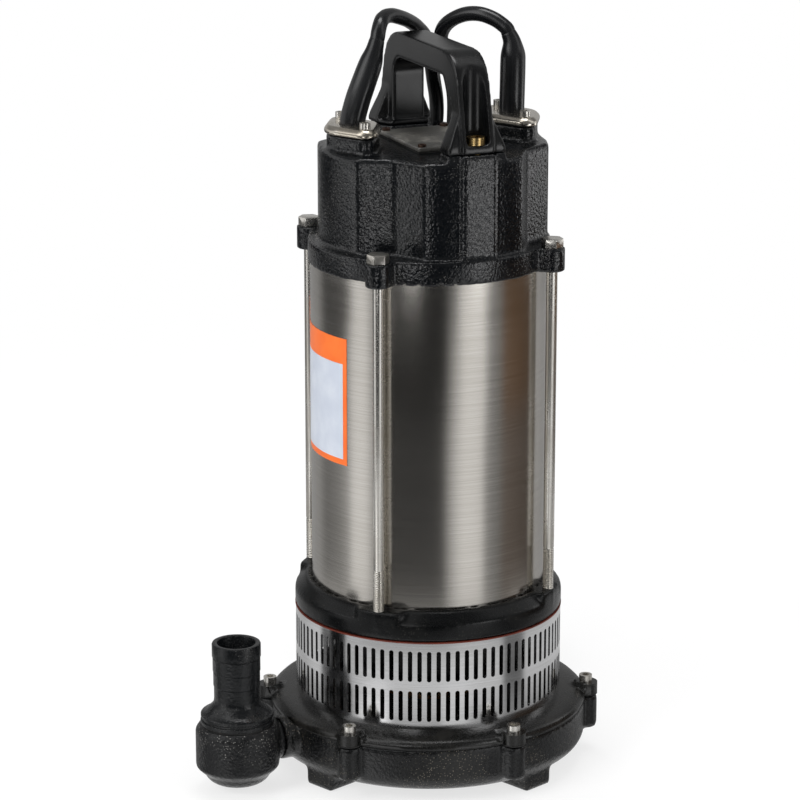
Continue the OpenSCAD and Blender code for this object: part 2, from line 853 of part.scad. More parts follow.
module access_gasket() {
    color("#1c1c1c") on_cover() lift(roof_z) difference() {
        access_outline(access_gasket_t);
        translate([-window_w / 2, -window_len / 2, -over]) cube([window_w, window_len, 3 * over]);
    }
}

module access_plate() {
    color("#2b2d2f") on_cover() lift(roof_z + access_gasket_t) access_outline(access_t);
}

module access_screws() {
    color("#9a7a6a") on_cover() for (x = [-1, 1], y = [-1, 1])
        translate([x * access_screw_x, y * access_screw_y, roof_z + access_gasket_t + access_t])
            socket_screw(access_screw_r - seat_gap, access_t + 4.5, 2.8, 1.6);
}

module capacitor() {
    color("#3a3d42") on_cover() translate([0, -32, partition_z + partition_t])
        cylinder(h = 46, r = 17);
}

module terminal_block() {
    color("#d8d4c4") on_cover() translate([-22, 12, partition_z + partition_t]) {
        difference() {
            cube([44, 18, 14]);
            for (i = [0 : 3]) translate([6 + i * 10.5, 9, 5]) cylinder(h = 12, r = 3);
        }
    }
}

// ---------------------------------------------------------------- handle

leg_in = grip_len / 2;
leg_out = leg_in + handle_t;
handle_corner_z = handle_h - handle_t;
fin_t = 3.6;
fin_out = 9;
fin_top = 46;
channel_half = handle_w / 2 - fin_t;
channel_depth = 5.5;
channel_at = leg_out + channel_half - channel_depth;
foot_in_half = 13.5;
foot_out_half = 20.5;
foot_edge_t = 3;
gusset_top = 25;
gusset_set = 2.5;
handle_bolt_r = 4;
handle_foot_out = leg_out + fin_out;
handle_foot_in = leg_in - 3;
handle_bolt_at = [
    -handle_offset - leg_out - 3, -handle_offset + leg_out + 3
];

// Side view of the handle: y is up
module handle_side() {
    difference() {
        union() {
            translate([-leg_out, 0]) square([2 * leg_out, handle_h - handle_round]);
            translate([-leg_out + handle_round, 0])
                square([2 * (leg_out - handle_round), handle_h]);
            for (s = [-1, 1]) translate([s * (leg_out - handle_round), handle_h - handle_round])
                circle(handle_round);
        }
        translate([-leg_in, -over]) square([2 * leg_in, handle_corner_z - grip_round + over]);
        translate([-leg_in + grip_round, -over])
            square([2 * (leg_in - grip_round), handle_corner_z + over]);
        for (s = [-1, 1]) translate([s * (leg_in - grip_round), handle_corner_z - grip_round])
            circle(grip_round);
    }
}

// Outline of the handle's foot on the -Y side
module foot_area() {
    polygon([
        [-foot_in_half, -handle_foot_in], [foot_in_half, -handle_foot_in],
        [foot_out_half, -leg_in - 10], [foot_out_half, gusset_set - handle_foot_out],
        [-foot_out_half, gusset_set - handle_foot_out], [-foot_out_half, -leg_in - 10]
    ]);
}

// Widened lower leg on the -Y side, that slopes in to the leg's outer face
module lower_leg(width, back) {
    translate([-width / 2, 0, 0]) rotate([90, 0, 90]) linear_extrude(width) polygon([
        [-leg_in - 8, 0], [back - handle_foot_out, 0], [back - handle_foot_out, handle_foot_t],
        [back - leg_out, fin_top], [-leg_in - 8, fin_top]
    ]);
}

// Foot, outer rims and the gussets beside them, for the leg on the -Y side
module leg_details() {
    linear_extrude(foot_edge_t) foot_area();
    lower_leg(handle_w, 0);
    intersection() {
        lower_leg(2 * foot_out_half, gusset_set);
        rotate([90, 0, 0]) linear_extrude(handle_foot_out) polygon([
            [-foot_out_half, 0], [foot_out_half, 0], [foot_out_half, foot_edge_t],
            [handle_w / 2, gusset_top], [-handle_w / 2, gusset_top], [-foot_out_half, foot_edge_t]
        ]);
    }
}

// Trough between the rims, that runs out where the leg bends into the bar
module leg_channel() {
    lift(handle_foot_t) {
        translate([-channel_half, -handle_foot_out - over, 0])
            cube([2 * channel_half, handle_foot_out + over - channel_at, handle_h]);
        translate([0, -channel_at, 0]) cylinder(h = handle_h, r = channel_half);
    }
}

module handle() {
    color("#232426") on_cover() translate([0, -handle_offset, pillar_top]) difference() {
        union() {
            translate([-handle_w / 2, 0, 0]) rotate([90, 0, 90])
                linear_extrude(handle_w) handle_side();
            leg_details();
            rotate([0, 0, 180]) leg_details();
        }
        for (s = [0, 180]) rotate([0, 0, s]) {
            leg_channel();
            translate([0, -leg_out - 3, -over])
                cylinder(h = handle_foot_t + 2 * over, r = handle_bolt_r + screw_gap);
        }
    }
}

module handle_bolts() {
    color("#b08a4a") on_cover() for (y = handle_bolt_at)
        translate([0, y, pillar_top + handle_foot_t])
            socket_screw(handle_bolt_r - seat_gap, handle_foot_t + 16, 6.2, 5);
}

// ---------------------------------------------------------------- glands

module gland_plate(side) {
    color("#cfc9bd") on_cover() translate([side * gland_at, 0, pad_top]) difference() {
        hull() {
            linear_extrude(gland_plate_t - 2.5) gland_area(0);
            lift(gland_plate_t - 1) linear_extrude(1) gland_area(-2.5);
        }
        lift(-over) cylinder(h = gland_plate_t + 2 * over, r = sleeve_r + 0.2);
        for (t = [-1, 1]) translate([0, t * gland_screw_gap / 2, -over])
            cylinder(h = gland_plate_t + 2 * over, r = gland_screw_r + screw_gap);
    }
}

module left_gland_plate() {
    gland_plate(-1);
}

module right_gland_plate() {
    gland_plate(1);
}

module gland_screws() {
    color("#c9c9c6") on_cover() for (s = gland_sides, t = [-1, 1])
        translate([s * gland_at, t * gland_screw_gap / 2, pad_top + gland_plate_t])
            socket_screw(gland_screw_r - seat_gap, gland_plate_t + 8, 3.6, 4.2);
}

// Rubber bush clamped under the plate, with the lead's own tail inside
module gland_bush(side) {
    color("#1d1d1d") on_cover() translate([side * gland_at, 0, roof_z]) {
        cylinder(h = gland_pad_h, r = gland_bore_r);
        translate([-side * 4.5, 0, -14]) cylinder(h = 14 + eps, r = entry_r - 0.8);
    }
}

module left_gland_bush() {
    gland_bush(-1);
}

module right_gland_bush() {
    gland_bush(1);
}

// ---------------------------------------------------------------- leads

coil_x = 2;
coil_y = 205;
coil_lift = 0.05;
lead_step = 2 * lead_r + turn_gap;
layer_turns = coil_turns / coil_layers;
coil_out_r = coil_mid_r + layer_turns * lead_step / 2;
coil_h = coil_layers * lead_step - turn_gap;
upper_coil_z = coil_lift + coil_h + 0.15;

function unit(v) = v / norm(v);
function tangent(p, i) = unit(p[min(i + 1, len(p) - 1)] - p[max(i - 1, 0)]);

// Carries one cross direction along the whole path, so that the tube doesn't twist
function carry(p, u, i = 0) = i >= len(p) ? [] :
    let (t = tangent(p, i), v = unit(u - (u * t) * t)) concat([v], carry(p, v, i + 1));

// Tube swept along points, with one radius for each point
module swept_tube(p, radii, sides, start) {
    u = carry(p, start);
    n = len(p);
    pts = [for (i = [0 : n - 1], k = [0 : sides - 1])
        let (w = cross(tangent(p, i), u[i]), a = 360 * (k + 0.5) / sides)
        p[i] + radii[i] * (cos(a) * u[i] + sin(a) * w)];
    walls = [for (i = [0 : n - 2], k = [0 : sides - 1], half = [0, 1])
        let (a = i * sides + k, b = i * sides + (k + 1) % sides)
        half == 0 ? [a, b, a + sides] : [b, b + sides, a + sides]];
    ends = concat(
        [for (k = [1 : sides - 2]) [0, k + 1, k]],
        [for (k = [1 : sides - 2]) [(n - 1) * sides, (n - 1) * sides + k, (n - 1) * sides + k + 1]]
    );
    polyhedron(points = pts, faces = [for (f = concat(walls, ends)) [f[0], f[2], f[1]]]);
}

left_sleeve_path = [
    [-50.5, -22, 442], [-50.5, -22, 450], [-47.2, -21.2, 463], [-43, -19.8, 475],
    [-38.6, -17.3, 487], [-36.2, -15.5, 495], [-34.7, -13.5, 501]
];
left_sleeve_radii = [sleeve_r, sleeve_r, sleeve_r - 0.1, sleeve_r - 0.4, sleeve_r - 0.9, 6.2, 5.4];
right_sleeve_path = [
    [55.5, 22, 442], [55.5, 22, 450], [55.8, 22, 466], [56, 22, 480],
    [56, 22, 487], [55.2, 22.3, 494.5], [53, 23.2, 500]
];
right_sleeve_radii = [sleeve_r, sleeve_r, sleeve_r, sleeve_r, sleeve_r - 0.2, 6.6, 5.4];

// Each lead leaves its sleeve, arches over the handle, goes down behind the shell and
// ends level, in line with the first turn of its coil
left_lead_path = concat([
    [-34.7, -13.5, 501], [-34.1, -12.7, 503.4],
    [-33.6, -11, 506.6], [-32.3, -6, 511.2], [-30.1, 2.5, 513.6],
    [-25.4, 15, 513.2], [-18.4, 30, 509.2], [-12.8, 43.5, 504.6], [-7.2, 55.5, 498.4],
    [-1.6, 64.5, 489.6], [1.4, 71.5, 475.5], [3.6, 77.5, 459], [5.6, 83.5, 444],
    [5.6, 90, 428], [2.5, 93.3, 408], [-5, 93.5, 380], [-9, 94, 350],
    [-14, 94.5, 320], [-19, 95, 290], [-24, 96, 260], [-29, 97, 230],
    [-34, 98, 200], [-39, 99.5, 170], [-43.5, 101.5, 140], [-48, 105, 110],
    [-52, 110.5, 82], [-53, 117.5, 58], [-49.5, 124, 37], [-41, 128, 20],
    [-29, 129.5, 9.5]
], [for (back = [20, 0]) coil_start(1, coil_lift) - [back, 0, 0]]);
right_lead_path = concat([
    [53, 23.2, 500], [51.9, 23.65, 502.75],
    [49.4, 25.1, 505], [43.6, 28, 508.6], [34.8, 32.2, 511.3],
    [25.6, 37.6, 510.7], [17.2, 43, 506.9], [10.9, 48, 501], [8.2, 51.8, 493.5],
    [9.4, 55.5, 484], [12.6, 60, 473.5], [15.4, 66, 462], [17.2, 73, 451.5],
    [17.8, 80.5, 442.5], [17.8, 87.5, 433], [17.5, 92.3, 419], [17.2, 94, 400],
    [18, 94, 375], [20, 94, 350], [23, 94.5, 320], [26, 95, 290],
    [29.5, 96, 260], [33.5, 97, 230], [38, 98, 200], [43, 99.5, 170],
    [48, 102, 142], [52.5, 107, 116], [54, 114, 94], [51, 121.5, 75],
    [43, 127.5, 59], [32.5, 129.5, 50]
], [for (back = [20, 0]) coil_start(-1, upper_coil_z) + [back, 0, 0]]);

module left_sleeve() {
    color("#26282b") swept_tube(left_sleeve_path, left_sleeve_radii, 24, [1, 0, 0]);
}

module right_sleeve() {
    color("#26282b") swept_tube(right_sleeve_path, right_sleeve_radii, 24, [1, 0, 0]);
}

module left_lead() {
    color("#1a1b1d") swept_tube(left_lead_path, [for (p = left_lead_path) lead_r], 8, [1, 0, 0]);
}

module right_lead() {
    color("#1a1b1d") swept_tube(right_lead_path, [for (p = right_lead_path) lead_r], 8, [1, 0, 0]);
}

// A coil is one tube that spirals in and out again, a layer higher each time
turn_rings = 24;
function coil_r(t) = let (layer = floor(t / layer_turns), s = t / layer_turns - layer)
    coil_out_r - layer_turns * lead_step * (layer % 2 == 0 ? s : 1 - s);

// Height of the tube's centre: level, with a climb in the half turn about each reversal
function coil_z(t) = lead_r + lead_step * (
    let (k = round(t / layer_turns), s = t - k * layer_turns)
    k < 1 || k >= coil_layers ? (k < 1 ? 0 : coil_layers - 1)
    : k - 1 + (s < -0.25 ? 0 : s > 0.25 ? 1 : (1 - cos((s + 0.25) * 360)) / 2)
);

function coil_point(t, sense) = [
    sense * coil_r(t) * sin(360 * t), -coil_r(t) * cos(360 * t), coil_z(t)
];

// Where a coil takes over from its lead
function coil_start(sense, z) = [coil_x - sense * 2 * lead_r, coil_y - coil_out_r, z + lead_r];

function coil_path(sense) = let (n = round(coil_turns * turn_rings))
    concat(
        [[-sense * 2 * lead_r, -coil_out_r, lead_r]],
        [for (i = [0 : n]) coil_point(i / turn_rings, sense)],
        [coil_point(coil_turns, sense)
            + [sense * 2 * lead_r * cos(360 * coil_turns), 2 * lead_r * sin(360 * coil_turns), 0]]
    );

module coil(sense, z) {
    p = coil_path(sense);
    translate([coil_x, coil_y, z]) swept_tube(p, [for (q = p) lead_r], 6, [0, 1, 0]);
}

coil_points = [for (i = [0 : round(coil_turns * turn_rings)]) coil_point(i / turn_rings, 1)];
least_gap = min([for (i = [0 : len(coil_points) - 1], j = [i + turn_rings / 2 : len(coil_points) - 1])
    norm(coil_points[i] - coil_points[j])]) - 2 * lead_r;
echo(least_gap_between_turns_mm = least_gap);

module left_lead_coil() {
    color("#1a1b1d") coil(1, coil_lift);
}

module right_lead_coil() {
    color("#1a1b1d") coil(-1, upper_coil_z);
}

// Three stripped cores with crimped ferrules, at the lead's far end
core_len = 32;
ferrule_len = 9;

module lead_end(sense, z) {
    last = coil_path(sense)[len(coil_path(sense)) - 1];
    translate([coil_x, coil_y, z]) translate(last) rotate([0, sense * 90 * cos(360 * coil_turns), 0])
        for (k = [0 : 2]) rotate([0, 0, k * 120]) translate([2.2, 0, 0]) {
            cylinder(h = core_len, r = 1.5);
            lift(core_len - eps) cylinder(h = ferrule_len, r = 1.1);
        }
}

module left_lead_end() {
    color("#b5803c") lead_end(1, coil_lift);
}

module right_lead_end() {
    color("#b5803c") lead_end(-1, upper_coil_z);
}

// ---------------------------------------------------------------- outlet

thread_r = 19;
socket_depth = 15;
gasket_t = 0.8;
collar_h = 7;
shoulder_h = 7;
tail_base = elbow_top + gasket_t;
tail_root_r = tail_r - 1.1;
land_step = 0.35;
elbow_foot = 5;

module at_elbow() {
    around(-outlet_turn, outlet_at) children();
}

module outlet_elbow() {
    color("#333537") difference() {
        union() {
            at_elbow() rotate_extrude() {
                bowl_area(elbow_r - 5, elbow_foot, 20, 11);
                polygon([[0, 17], [elbow_r - 4.4, 13.2], [elbow_r, 17.3], [elbow_r, elbow_top - 4],
                    [elbow_r - 2.8, elbow_top], [0, elbow_top]]);
            }
            level_bore(neck_r - 0.8, neck_face, outlet_at);
            level_bore(socket_r, neck_face - spigot_len, outlet_at);
        }
        at_elbow() {
            lift(outlet_z - neck_bore_r - 1) cylinder(h = elbow_top, r = tail_bore_r);
            lift(elbow_top - socket_depth) cylinder(h = socket_depth + over, r = thread_r + run_gap);
        }
        level_bore(neck_bore_r - 1.3, neck_face - spigot_len - over, outlet_at);
    }
}

module tail_gasket() {
    color("#1c1c1c") at_elbow() lift(elbow_top) ring(tail_collar_r, thread_r + run_gap, gasket_t);
}

module hose_tail() {
    shank_z = tail_base + collar_h + shoulder_h;
    land_z = tail_base + collar_h + tail_h - land_n * land_h;
    color("#3a3c3e") at_elbow() difference() {
        union() {
            lift(elbow_top - socket_depth + 1) cylinder(h = socket_depth + gasket_t, r = thread_r);
            lift(tail_base) cylinder(h = 2.6, r = tail_collar_r);
            lift(tail_base) cylinder(h = collar_h, r = tail_collar_r - 0.9);
            lift(tail_base + collar_h - 2.8) cylinder(h = 2.8, r = tail_collar_r - 0.2);
            lift(tail_base + collar_h)
                cylinder(h = shoulder_h, r1 = tail_collar_r - 1.8, r2 = tail_root_r);
            lift(shank_z - eps) cylinder(h = land_z - shank_z + 2 * eps, r = tail_root_r);
            for (i = [0 : land_n - 1]) lift(land_z + i * land_h)
                cylinder(h = land_h + eps, r = tail_r - (land_n - 1 - i) * land_step);
        }
        cylinder(h = 4 * tail_h, r = tail_bore_r);
    }
}

// ---------------------------------------------------------------- assembly

volute_casing();
casing_gasket();
casing_cover();
casing_screws();
pillar_screws();
wear_ring();
impeller();
impeller_key();
impeller_nut();
strainer();
strainer_gasket();
lower_housing();
seal_plate();
oil_plug();
seal_seat();
seal_ring();
seal_bellows();
lip_seal();
lower_outer_race();
lower_inner_race();
lower_ball_cage();
upper_outer_race();
upper_inner_race();
upper_ball_cage();
wave_washer();
shaft();
rotor_core();
rotor_end_rings();
stator_core();
stator_windings();
motor_shell();
shell_seals();
top_cover();
tie_bolts();
access_gasket();
access_plate();
access_screws();
capacitor();
terminal_block();
handle();
handle_bolts();
left_gland_plate();
right_gland_plate();
gland_screws();
left_gland_bush();
right_gland_bush();
left_sleeve();
right_sleeve();
left_lead();
right_lead();
left_lead_coil();
right_lead_coil();
left_lead_end();
right_lead_end();
outlet_elbow();
tail_gasket();
hose_tail();
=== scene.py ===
import json
import math

import bmesh
import bpy
from mathutils import Matrix, Vector

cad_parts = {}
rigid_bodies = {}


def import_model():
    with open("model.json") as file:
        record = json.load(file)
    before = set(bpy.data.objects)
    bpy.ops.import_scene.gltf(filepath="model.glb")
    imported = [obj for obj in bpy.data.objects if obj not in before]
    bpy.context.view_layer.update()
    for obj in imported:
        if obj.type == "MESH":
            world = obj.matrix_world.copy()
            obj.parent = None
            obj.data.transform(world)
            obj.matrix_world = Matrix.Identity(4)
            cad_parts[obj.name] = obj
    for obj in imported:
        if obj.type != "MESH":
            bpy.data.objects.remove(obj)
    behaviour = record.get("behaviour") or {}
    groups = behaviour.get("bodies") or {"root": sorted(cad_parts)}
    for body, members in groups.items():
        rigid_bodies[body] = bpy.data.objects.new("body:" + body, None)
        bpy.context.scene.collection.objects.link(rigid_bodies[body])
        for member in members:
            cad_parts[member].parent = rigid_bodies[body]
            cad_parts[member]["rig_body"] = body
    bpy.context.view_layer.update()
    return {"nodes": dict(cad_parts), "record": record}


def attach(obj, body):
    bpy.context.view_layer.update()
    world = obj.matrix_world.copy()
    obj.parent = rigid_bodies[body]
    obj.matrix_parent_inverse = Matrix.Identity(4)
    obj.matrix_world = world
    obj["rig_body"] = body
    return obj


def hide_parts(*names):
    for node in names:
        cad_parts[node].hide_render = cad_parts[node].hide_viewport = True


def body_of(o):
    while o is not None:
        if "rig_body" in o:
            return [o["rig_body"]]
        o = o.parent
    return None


# Looks for a canned-motor sump pump. Metres, Z up along the pump's own axis, the front faces -Y.

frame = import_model()
scene = bpy.context.scene
scene.view_settings.view_transform = "Standard"
nodes = frame["nodes"]
print("frame loaded,", len(nodes), "nodes")


def addObject(name, data):
    made = bpy.data.objects.new(name, data)
    scene.collection.objects.link(made)
    return made


cameraLook = {
    "place": (-0.01944, -2.139, 0.849),
    "tilt": 0.272,  # radians below level
    "lens": 146.83,
    "sensor": 36.0,
    "reach": 40,
}
camera = addObject("camera", bpy.data.cameras.new("camera"))
camera.data.sensor_width = cameraLook["sensor"]
camera.data.lens = cameraLook["lens"]
camera.data.clip_end = cameraLook["reach"]
camera.location = cameraLook["place"]
camera.rotation_euler = (math.pi / 2 - cameraLook["tilt"], 0, 0)
scene.camera = camera


def tone(red, green, blue):
    # a screen colour from 0 to 255, with the screen's own curve taken off
    def straight(part):
        part /= 255
        return part / 12.92 if part <= 0.04045 else ((part + 0.055) / 1.055) ** 2.4
    return (straight(red), straight(green), straight(blue), 1.0)


def smoothLine(points, steps):
    # a curve through every point
    line = []
    last = len(points) - 1
    for i in range(last):
        a, b, c, d = (Vector(points[min(max(i + k, 0), last)]) for k in (-1, 0, 1, 2))
        for s in range(steps):
            t = s / steps
            line.append(0.5 * (2 * b + (c - a) * t + (2 * a - 5 * b + 4 * c - d) * t * t
                               + (3 * b - a - 3 * c + d) * t ** 3))
    line.append(Vector(points[-1]))
    return line


def placeAt(angle, radius, height=0.0):
    # the point at this angle from the front, counted to the right in degrees
    turn = math.radians(angle)
    return Vector((radius * math.sin(turn), -radius * math.cos(turn), height))


def meshOf(name, bm):
    # turns a bmesh into a mesh and frees it
    mesh = bpy.data.meshes.new(name)
    bm.to_mesh(mesh)
    bm.free()
    return mesh


def joinTo(bm, parts):
    for part in parts:
        mesh = meshOf("part", part)
        bm.from_mesh(mesh)
        bpy.data.meshes.remove(mesh)


def vertsOf(made):
    return [v for v in made["geom"] if isinstance(v, bmesh.types.BMVert)]


def edgesOf(made):
    return [e for e in made["geom"] if isinstance(e, bmesh.types.BMEdge)]


def addPiece(bm, name, body, finishes, stands=(), sharp=32):
    # edges over the sharp angle in degrees stay crisp, and 0 leaves none
    bm.normal_update()
    mesh = meshOf(name, bm)
    mesh.polygons.foreach_set("use_smooth", [True] * len(mesh.polygons))
    if sharp:
        mesh.set_sharp_from_angle(angle=math.radians(sharp))
    piece = addObject(name, mesh)
    for finish in finishes:
        mesh.materials.append(finish)
    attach(piece, body)
    if stands:
        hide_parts(*stands)
    return piece


def copyOf(node):
    bm = bmesh.new()
    bm.from_mesh(nodes[node].data)
    bmesh.ops.remove_doubles(bm, verts=bm.verts, dist=1e-7)
    return bm


def softened(bm, voxel, rounds):
    # an even skin of small faces over the shape, with its edges rubbed round
    mesh = meshOf("rough", bm)
    rough = addObject("rough", mesh)
    skin = rough.modifiers.new("skin", "REMESH")
    skin.mode = "VOXEL"
    skin.voxel_size = voxel
    graph = bpy.context.evaluated_depsgraph_get()
    made = bpy.data.meshes.new_from_object(rough.evaluated_get(graph))
    bpy.data.objects.remove(rough)
    bpy.data.meshes.remove(mesh)
    bm = bmesh.new()
    bm.from_mesh(made)
    bpy.data.meshes.remove(made)
    for i in range(rounds):
        bmesh.ops.smooth_vert(bm, verts=bm.verts, factor=0.5,
                              use_axis_x=True, use_axis_y=True, use_axis_z=True)
    return bm


def lathe(profile, steps, centre=(0, 0, 0)):
    # a full turn of a profile given as (radius, height)
    bm = bmesh.new()
    line = [bm.verts.new((r, 0, z)) for r, z in profile]
    edges = [bm.edges.new(pair) for pair in zip(line, line[1:])]
    bmesh.ops.spin(bm, geom=line + edges, cent=(0, 0, 0), axis=(0, 0, 1), angle=2 * math.pi,
                   steps=steps, use_merge=True)
    bmesh.ops.remove_doubles(bm, verts=bm.verts, dist=1e-6)
    bmesh.ops.recalc_face_normals(bm, faces=bm.faces)
    bmesh.ops.translate(bm, verts=bm.verts, vec=centre)
    return bm


def threadTurns(look, crest, low, high):
    # turns of thread that start from low up to high, as (radius, height), and where they end
    rise, peak, fall, end = (share * look["pitch"] for share in look["thread"])
    profile = []
    z = low
    while z < high:
        profile += [(look["root"], z + rise), (crest, z + peak), (crest, z + fall),
                    (look["root"], z + end)]
        z += look["pitch"]
    return profile, z


class Sock:
    # wraps an output of a tree, so that sums can be written as sums
    def __init__(self, tree, socket):
        self.tree = tree
        self.socket = socket

    def __add__(self, other):
        return self.tree.maths("ADD", self, other)

    def __radd__(self, other):
        return self.tree.maths("ADD", other, self)

    def __sub__(self, other):
        return self.tree.maths("SUBTRACT", self, other)

    def __rsub__(self, other):
        return self.tree.maths("SUBTRACT", other, self)

    def __mul__(self, other):
        return self.tree.maths("MULTIPLY", self, other)

    def __rmul__(self, other):
        return self.tree.maths("MULTIPLY", other, self)

    def __truediv__(self, other):
        return self.tree.maths("DIVIDE", self, other)


class Nodes:
    # any node tree: each node comes from node(), settings first, then sockets
    def __init__(self, tree):
        self.tree = tree

    def feed(self, socket, value):
        if isinstance(value, Sock):
            self.tree.links.new(value.socket, socket)
        else:
            socket.default_value = value

    def node(self, kind, settings, sockets):
        made = self.tree.nodes.new(kind)
        for key, value in settings.items():
            if key == "stops":
                ramp = made.color_ramp
                while len(ramp.elements) < len(value):
                    ramp.elements.new(0.5)
                for stop, (spot, colour) in zip(ramp.elements, value):
                    stop.position = spot
                    stop.color = colour
            else:
                setattr(made, key, value)
        for key, value in sockets.items():
            self.feed(made.inputs[key], value)
        return made

    def output(self, key, kind, settings, sockets):
        return Sock(self, self.node(kind, settings, sockets).outputs[key])

    def maths(self, operation, a, b=0.0):
        return self.output(0, "ShaderNodeMath", {"operation": operation}, {0: a, 1: b})

    def either(self, *socks):
        joined = socks[0]
        for sock in socks[1:]:
            joined = self.maths("MAXIMUM", joined, sock)
        return joined

    def place(self, stretch=None):
        spot = self.output("Object", "ShaderNodeTexCoord", {}, {})
        if stretch is None:
            return spot
        return self.output(0, "ShaderNodeMapping", {}, {"Vector": spot, "Scale": stretch})

    def part(self, spot, axis):
        return self.output(axis, "ShaderNodeSeparateXYZ", {}, {0: spot})

    def noise(self, spot, scale, detail, rough):
        return self.output(0, "ShaderNodeTexNoise", {}, {
            "Vector": spot, "Scale": scale, "Detail": detail, "Roughness": rough})

    def cells(self, spot, scale):
        return self.output("Distance", "ShaderNodeTexVoronoi", {"feature": "F1"}, {
            "Vector": spot, "Scale": scale})

    def step(self, value, low, high):
        return self.output(0, "ShaderNodeMapRange", {"interpolation_type": "SMOOTHSTEP"}, {
            "Value": value, "From Min": low, "From Max": high})

    def blend(self, mask, first, second):
        return self.output(2, "ShaderNodeMix", {"data_type": "RGBA"}, {
            0: mask, 6: first, 7: second})

    def mixShader(self, mask, first, second):
        # first and second are shader nodes
        return self.output(0, "ShaderNodeMixShader", {}, {
            0: mask, 1: Sock(self, first.outputs[0]), 2: Sock(self, second.outputs[0])})


class Finish(Nodes):
    # a material: what is the same all over is set at once, and what varies is fed later
    def __init__(self, name, fixed):
        self.material = bpy.data.materials.new(name)
        self.material.use_nodes = True
        super().__init__(self.material.node_tree)
        self.shader = self.tree.nodes["Principled BSDF"]
        for key, value in fixed.items():
            self.shader.inputs[key].default_value = value

    def colour(self, value):
        self.feed(self.shader.inputs["Base Color"], value)

    def rough(self, value):
        self.feed(self.shader.inputs["Roughness"], value)

    def relief(self, height, strength, distance):
        bump = self.output(0, "ShaderNodeBump", {}, {
            "Height": height, "Strength": strength, "Distance": distance})
        self.feed(self.shader.inputs["Normal"], bump)


# what all finishes of a kind share: noises as (scale, detail, roughness), fades as (low, high),
# and how much each mask adds to roughness or relief
castSkin = {
    "grain": (2.0, 0.45), "fine": (2.0, 0.5), "fineTimes": 2.7, "speckTimes": 1.3,
    "patches": (34, 3.0, 0.55), "speckFade": (0.13, 0.24), "grainInDust": 0.25,
    "dustFade": (0.58, 0.86), "chipsAndGlintsFade": (0.42, 0.62),
    "dustRough": 0.10, "fineRough": 0.10, "chipsAndGlintsRough": 0.2,
}
brushedSkin = {
    "lines": (1.0, 2.0, 0.6), "broad": (2.0, 0.5), "scuffStretch": (60, 60, 12),
    "scuffs": (3.0, 4.0, 0.7), "scuffFade": (0.66, 0.74), "lineShare": 0.6, "broadShare": 0.4,
    "toneFade": (0.35, 0.65), "broadRough": 0.08, "scuffRough": 0.06,
    "lineRelief": 0.8, "scuffRelief": 0.2, "depth": 0.0002,
}
metalSkin = {
    "grain": (3.0, 0.6), "broadTimes": 0.12, "broad": (2.0, 0.5), "grainInWear": 0.2,
    "wearFade": (0.5, 0.75), "grainRough": 0.08, "wearRough": 0.06, "depth": 0.00025,
}
mouldedSkin = {
    "skin": (2.0, 0.6), "mottle": (45, 3.0, 0.55), "scuffStretch": (220, 60, 60),
    "scuffs": (2.2, 4.0, 0.75), "scuffFade": (0.66, 0.76), "mottleFade": (0.35, 0.7),
    "mottleRough": 0.08, "scuffRough": 0.2, "skinRelief": 0.7, "mottleRelief": 0.3,
}
middle = 0.5  # a noise's mean, taken off where it should add nothing on average


def castIron(name, look):
    # glossy enamel over a sand casting: its grain, dust in the hollows, and small pale specks that
    # are partly bare chips and partly painted highlight glints
    skin = castSkin
    f = Finish(name, {"Specular IOR Level": look["gloss"]})
    spot = f.place()
    grain = f.noise(spot, look["grain"], *skin["grain"])
    fine = f.noise(spot, look["grain"] * skin["fineTimes"], *skin["fine"])
    patches = f.noise(spot, *skin["patches"])
    cells = f.cells(spot, look["grain"] * skin["speckTimes"])
    # pale specks blended into the colour: partly bare chips, partly painted highlight glints
    # standing in for the enamel's sparkle
    specks = 1 - f.step(cells, *skin["speckFade"])
    dusty = f.step(patches + grain * skin["grainInDust"], *skin["dustFade"])
    chipsAndGlints = specks * f.step(patches, *skin["chipsAndGlintsFade"]) * look["specks"]
    base = f.blend(dusty, look["dark"], look["dust"])
    f.colour(f.blend(chipsAndGlints, base, look["chipsAndGlints"]))
    f.rough(look["rough"] + dusty * skin["dustRough"] + (fine - middle) * skin["fineRough"]
            + chipsAndGlints * skin["chipsAndGlintsRough"])
    f.relief(grain, look["strength"], look["depth"])
    return f.material


def brushed(name, look):
    # rolled or turned steel, its fine lines running round the Z axis
    skin = brushedSkin
    f = Finish(name, {"Metallic": 1.0, "Anisotropic": look["lean"]})
    lines = f.noise(f.place((look["along"], look["along"], look["across"])), *skin["lines"])
    broad = f.noise(f.place(), look["cloud"], *skin["broad"])
    scuffs = f.step(f.noise(f.place(skin["scuffStretch"]), *skin["scuffs"]), *skin["scuffFade"])
    bright = lines * skin["lineShare"] + broad * skin["broadShare"]
    f.colour(f.blend(f.step(bright, *skin["toneFade"]), look["low"], look["high"]))
    f.rough(look["rough"] + (lines - middle) * look["streak"]
            + (broad - middle) * skin["broadRough"] + scuffs * skin["scuffRough"])
    f.relief(lines * skin["lineRelief"] + scuffs * skin["scuffRelief"], look["strength"],
             skin["depth"])
    return f.material


def plainMetal(name, look):
    # machined or plated metal with turning marks and small knocks
    skin = metalSkin
    f = Finish(name, {"Metallic": 1.0})
    spot = f.place()
    grain = f.noise(spot, look["grain"], *skin["grain"])
    broad = f.noise(spot, look["grain"] * skin["broadTimes"], *skin["broad"])
    worn = f.step(broad + grain * skin["grainInWear"], *skin["wearFade"])
    f.colour(f.blend(worn, look["clean"], look["stained"]))
    f.rough(look["rough"] + (grain - middle) * skin["grainRough"] + worn * skin["wearRough"])
    f.relief(grain, look["strength"], skin["depth"])
    return f.material


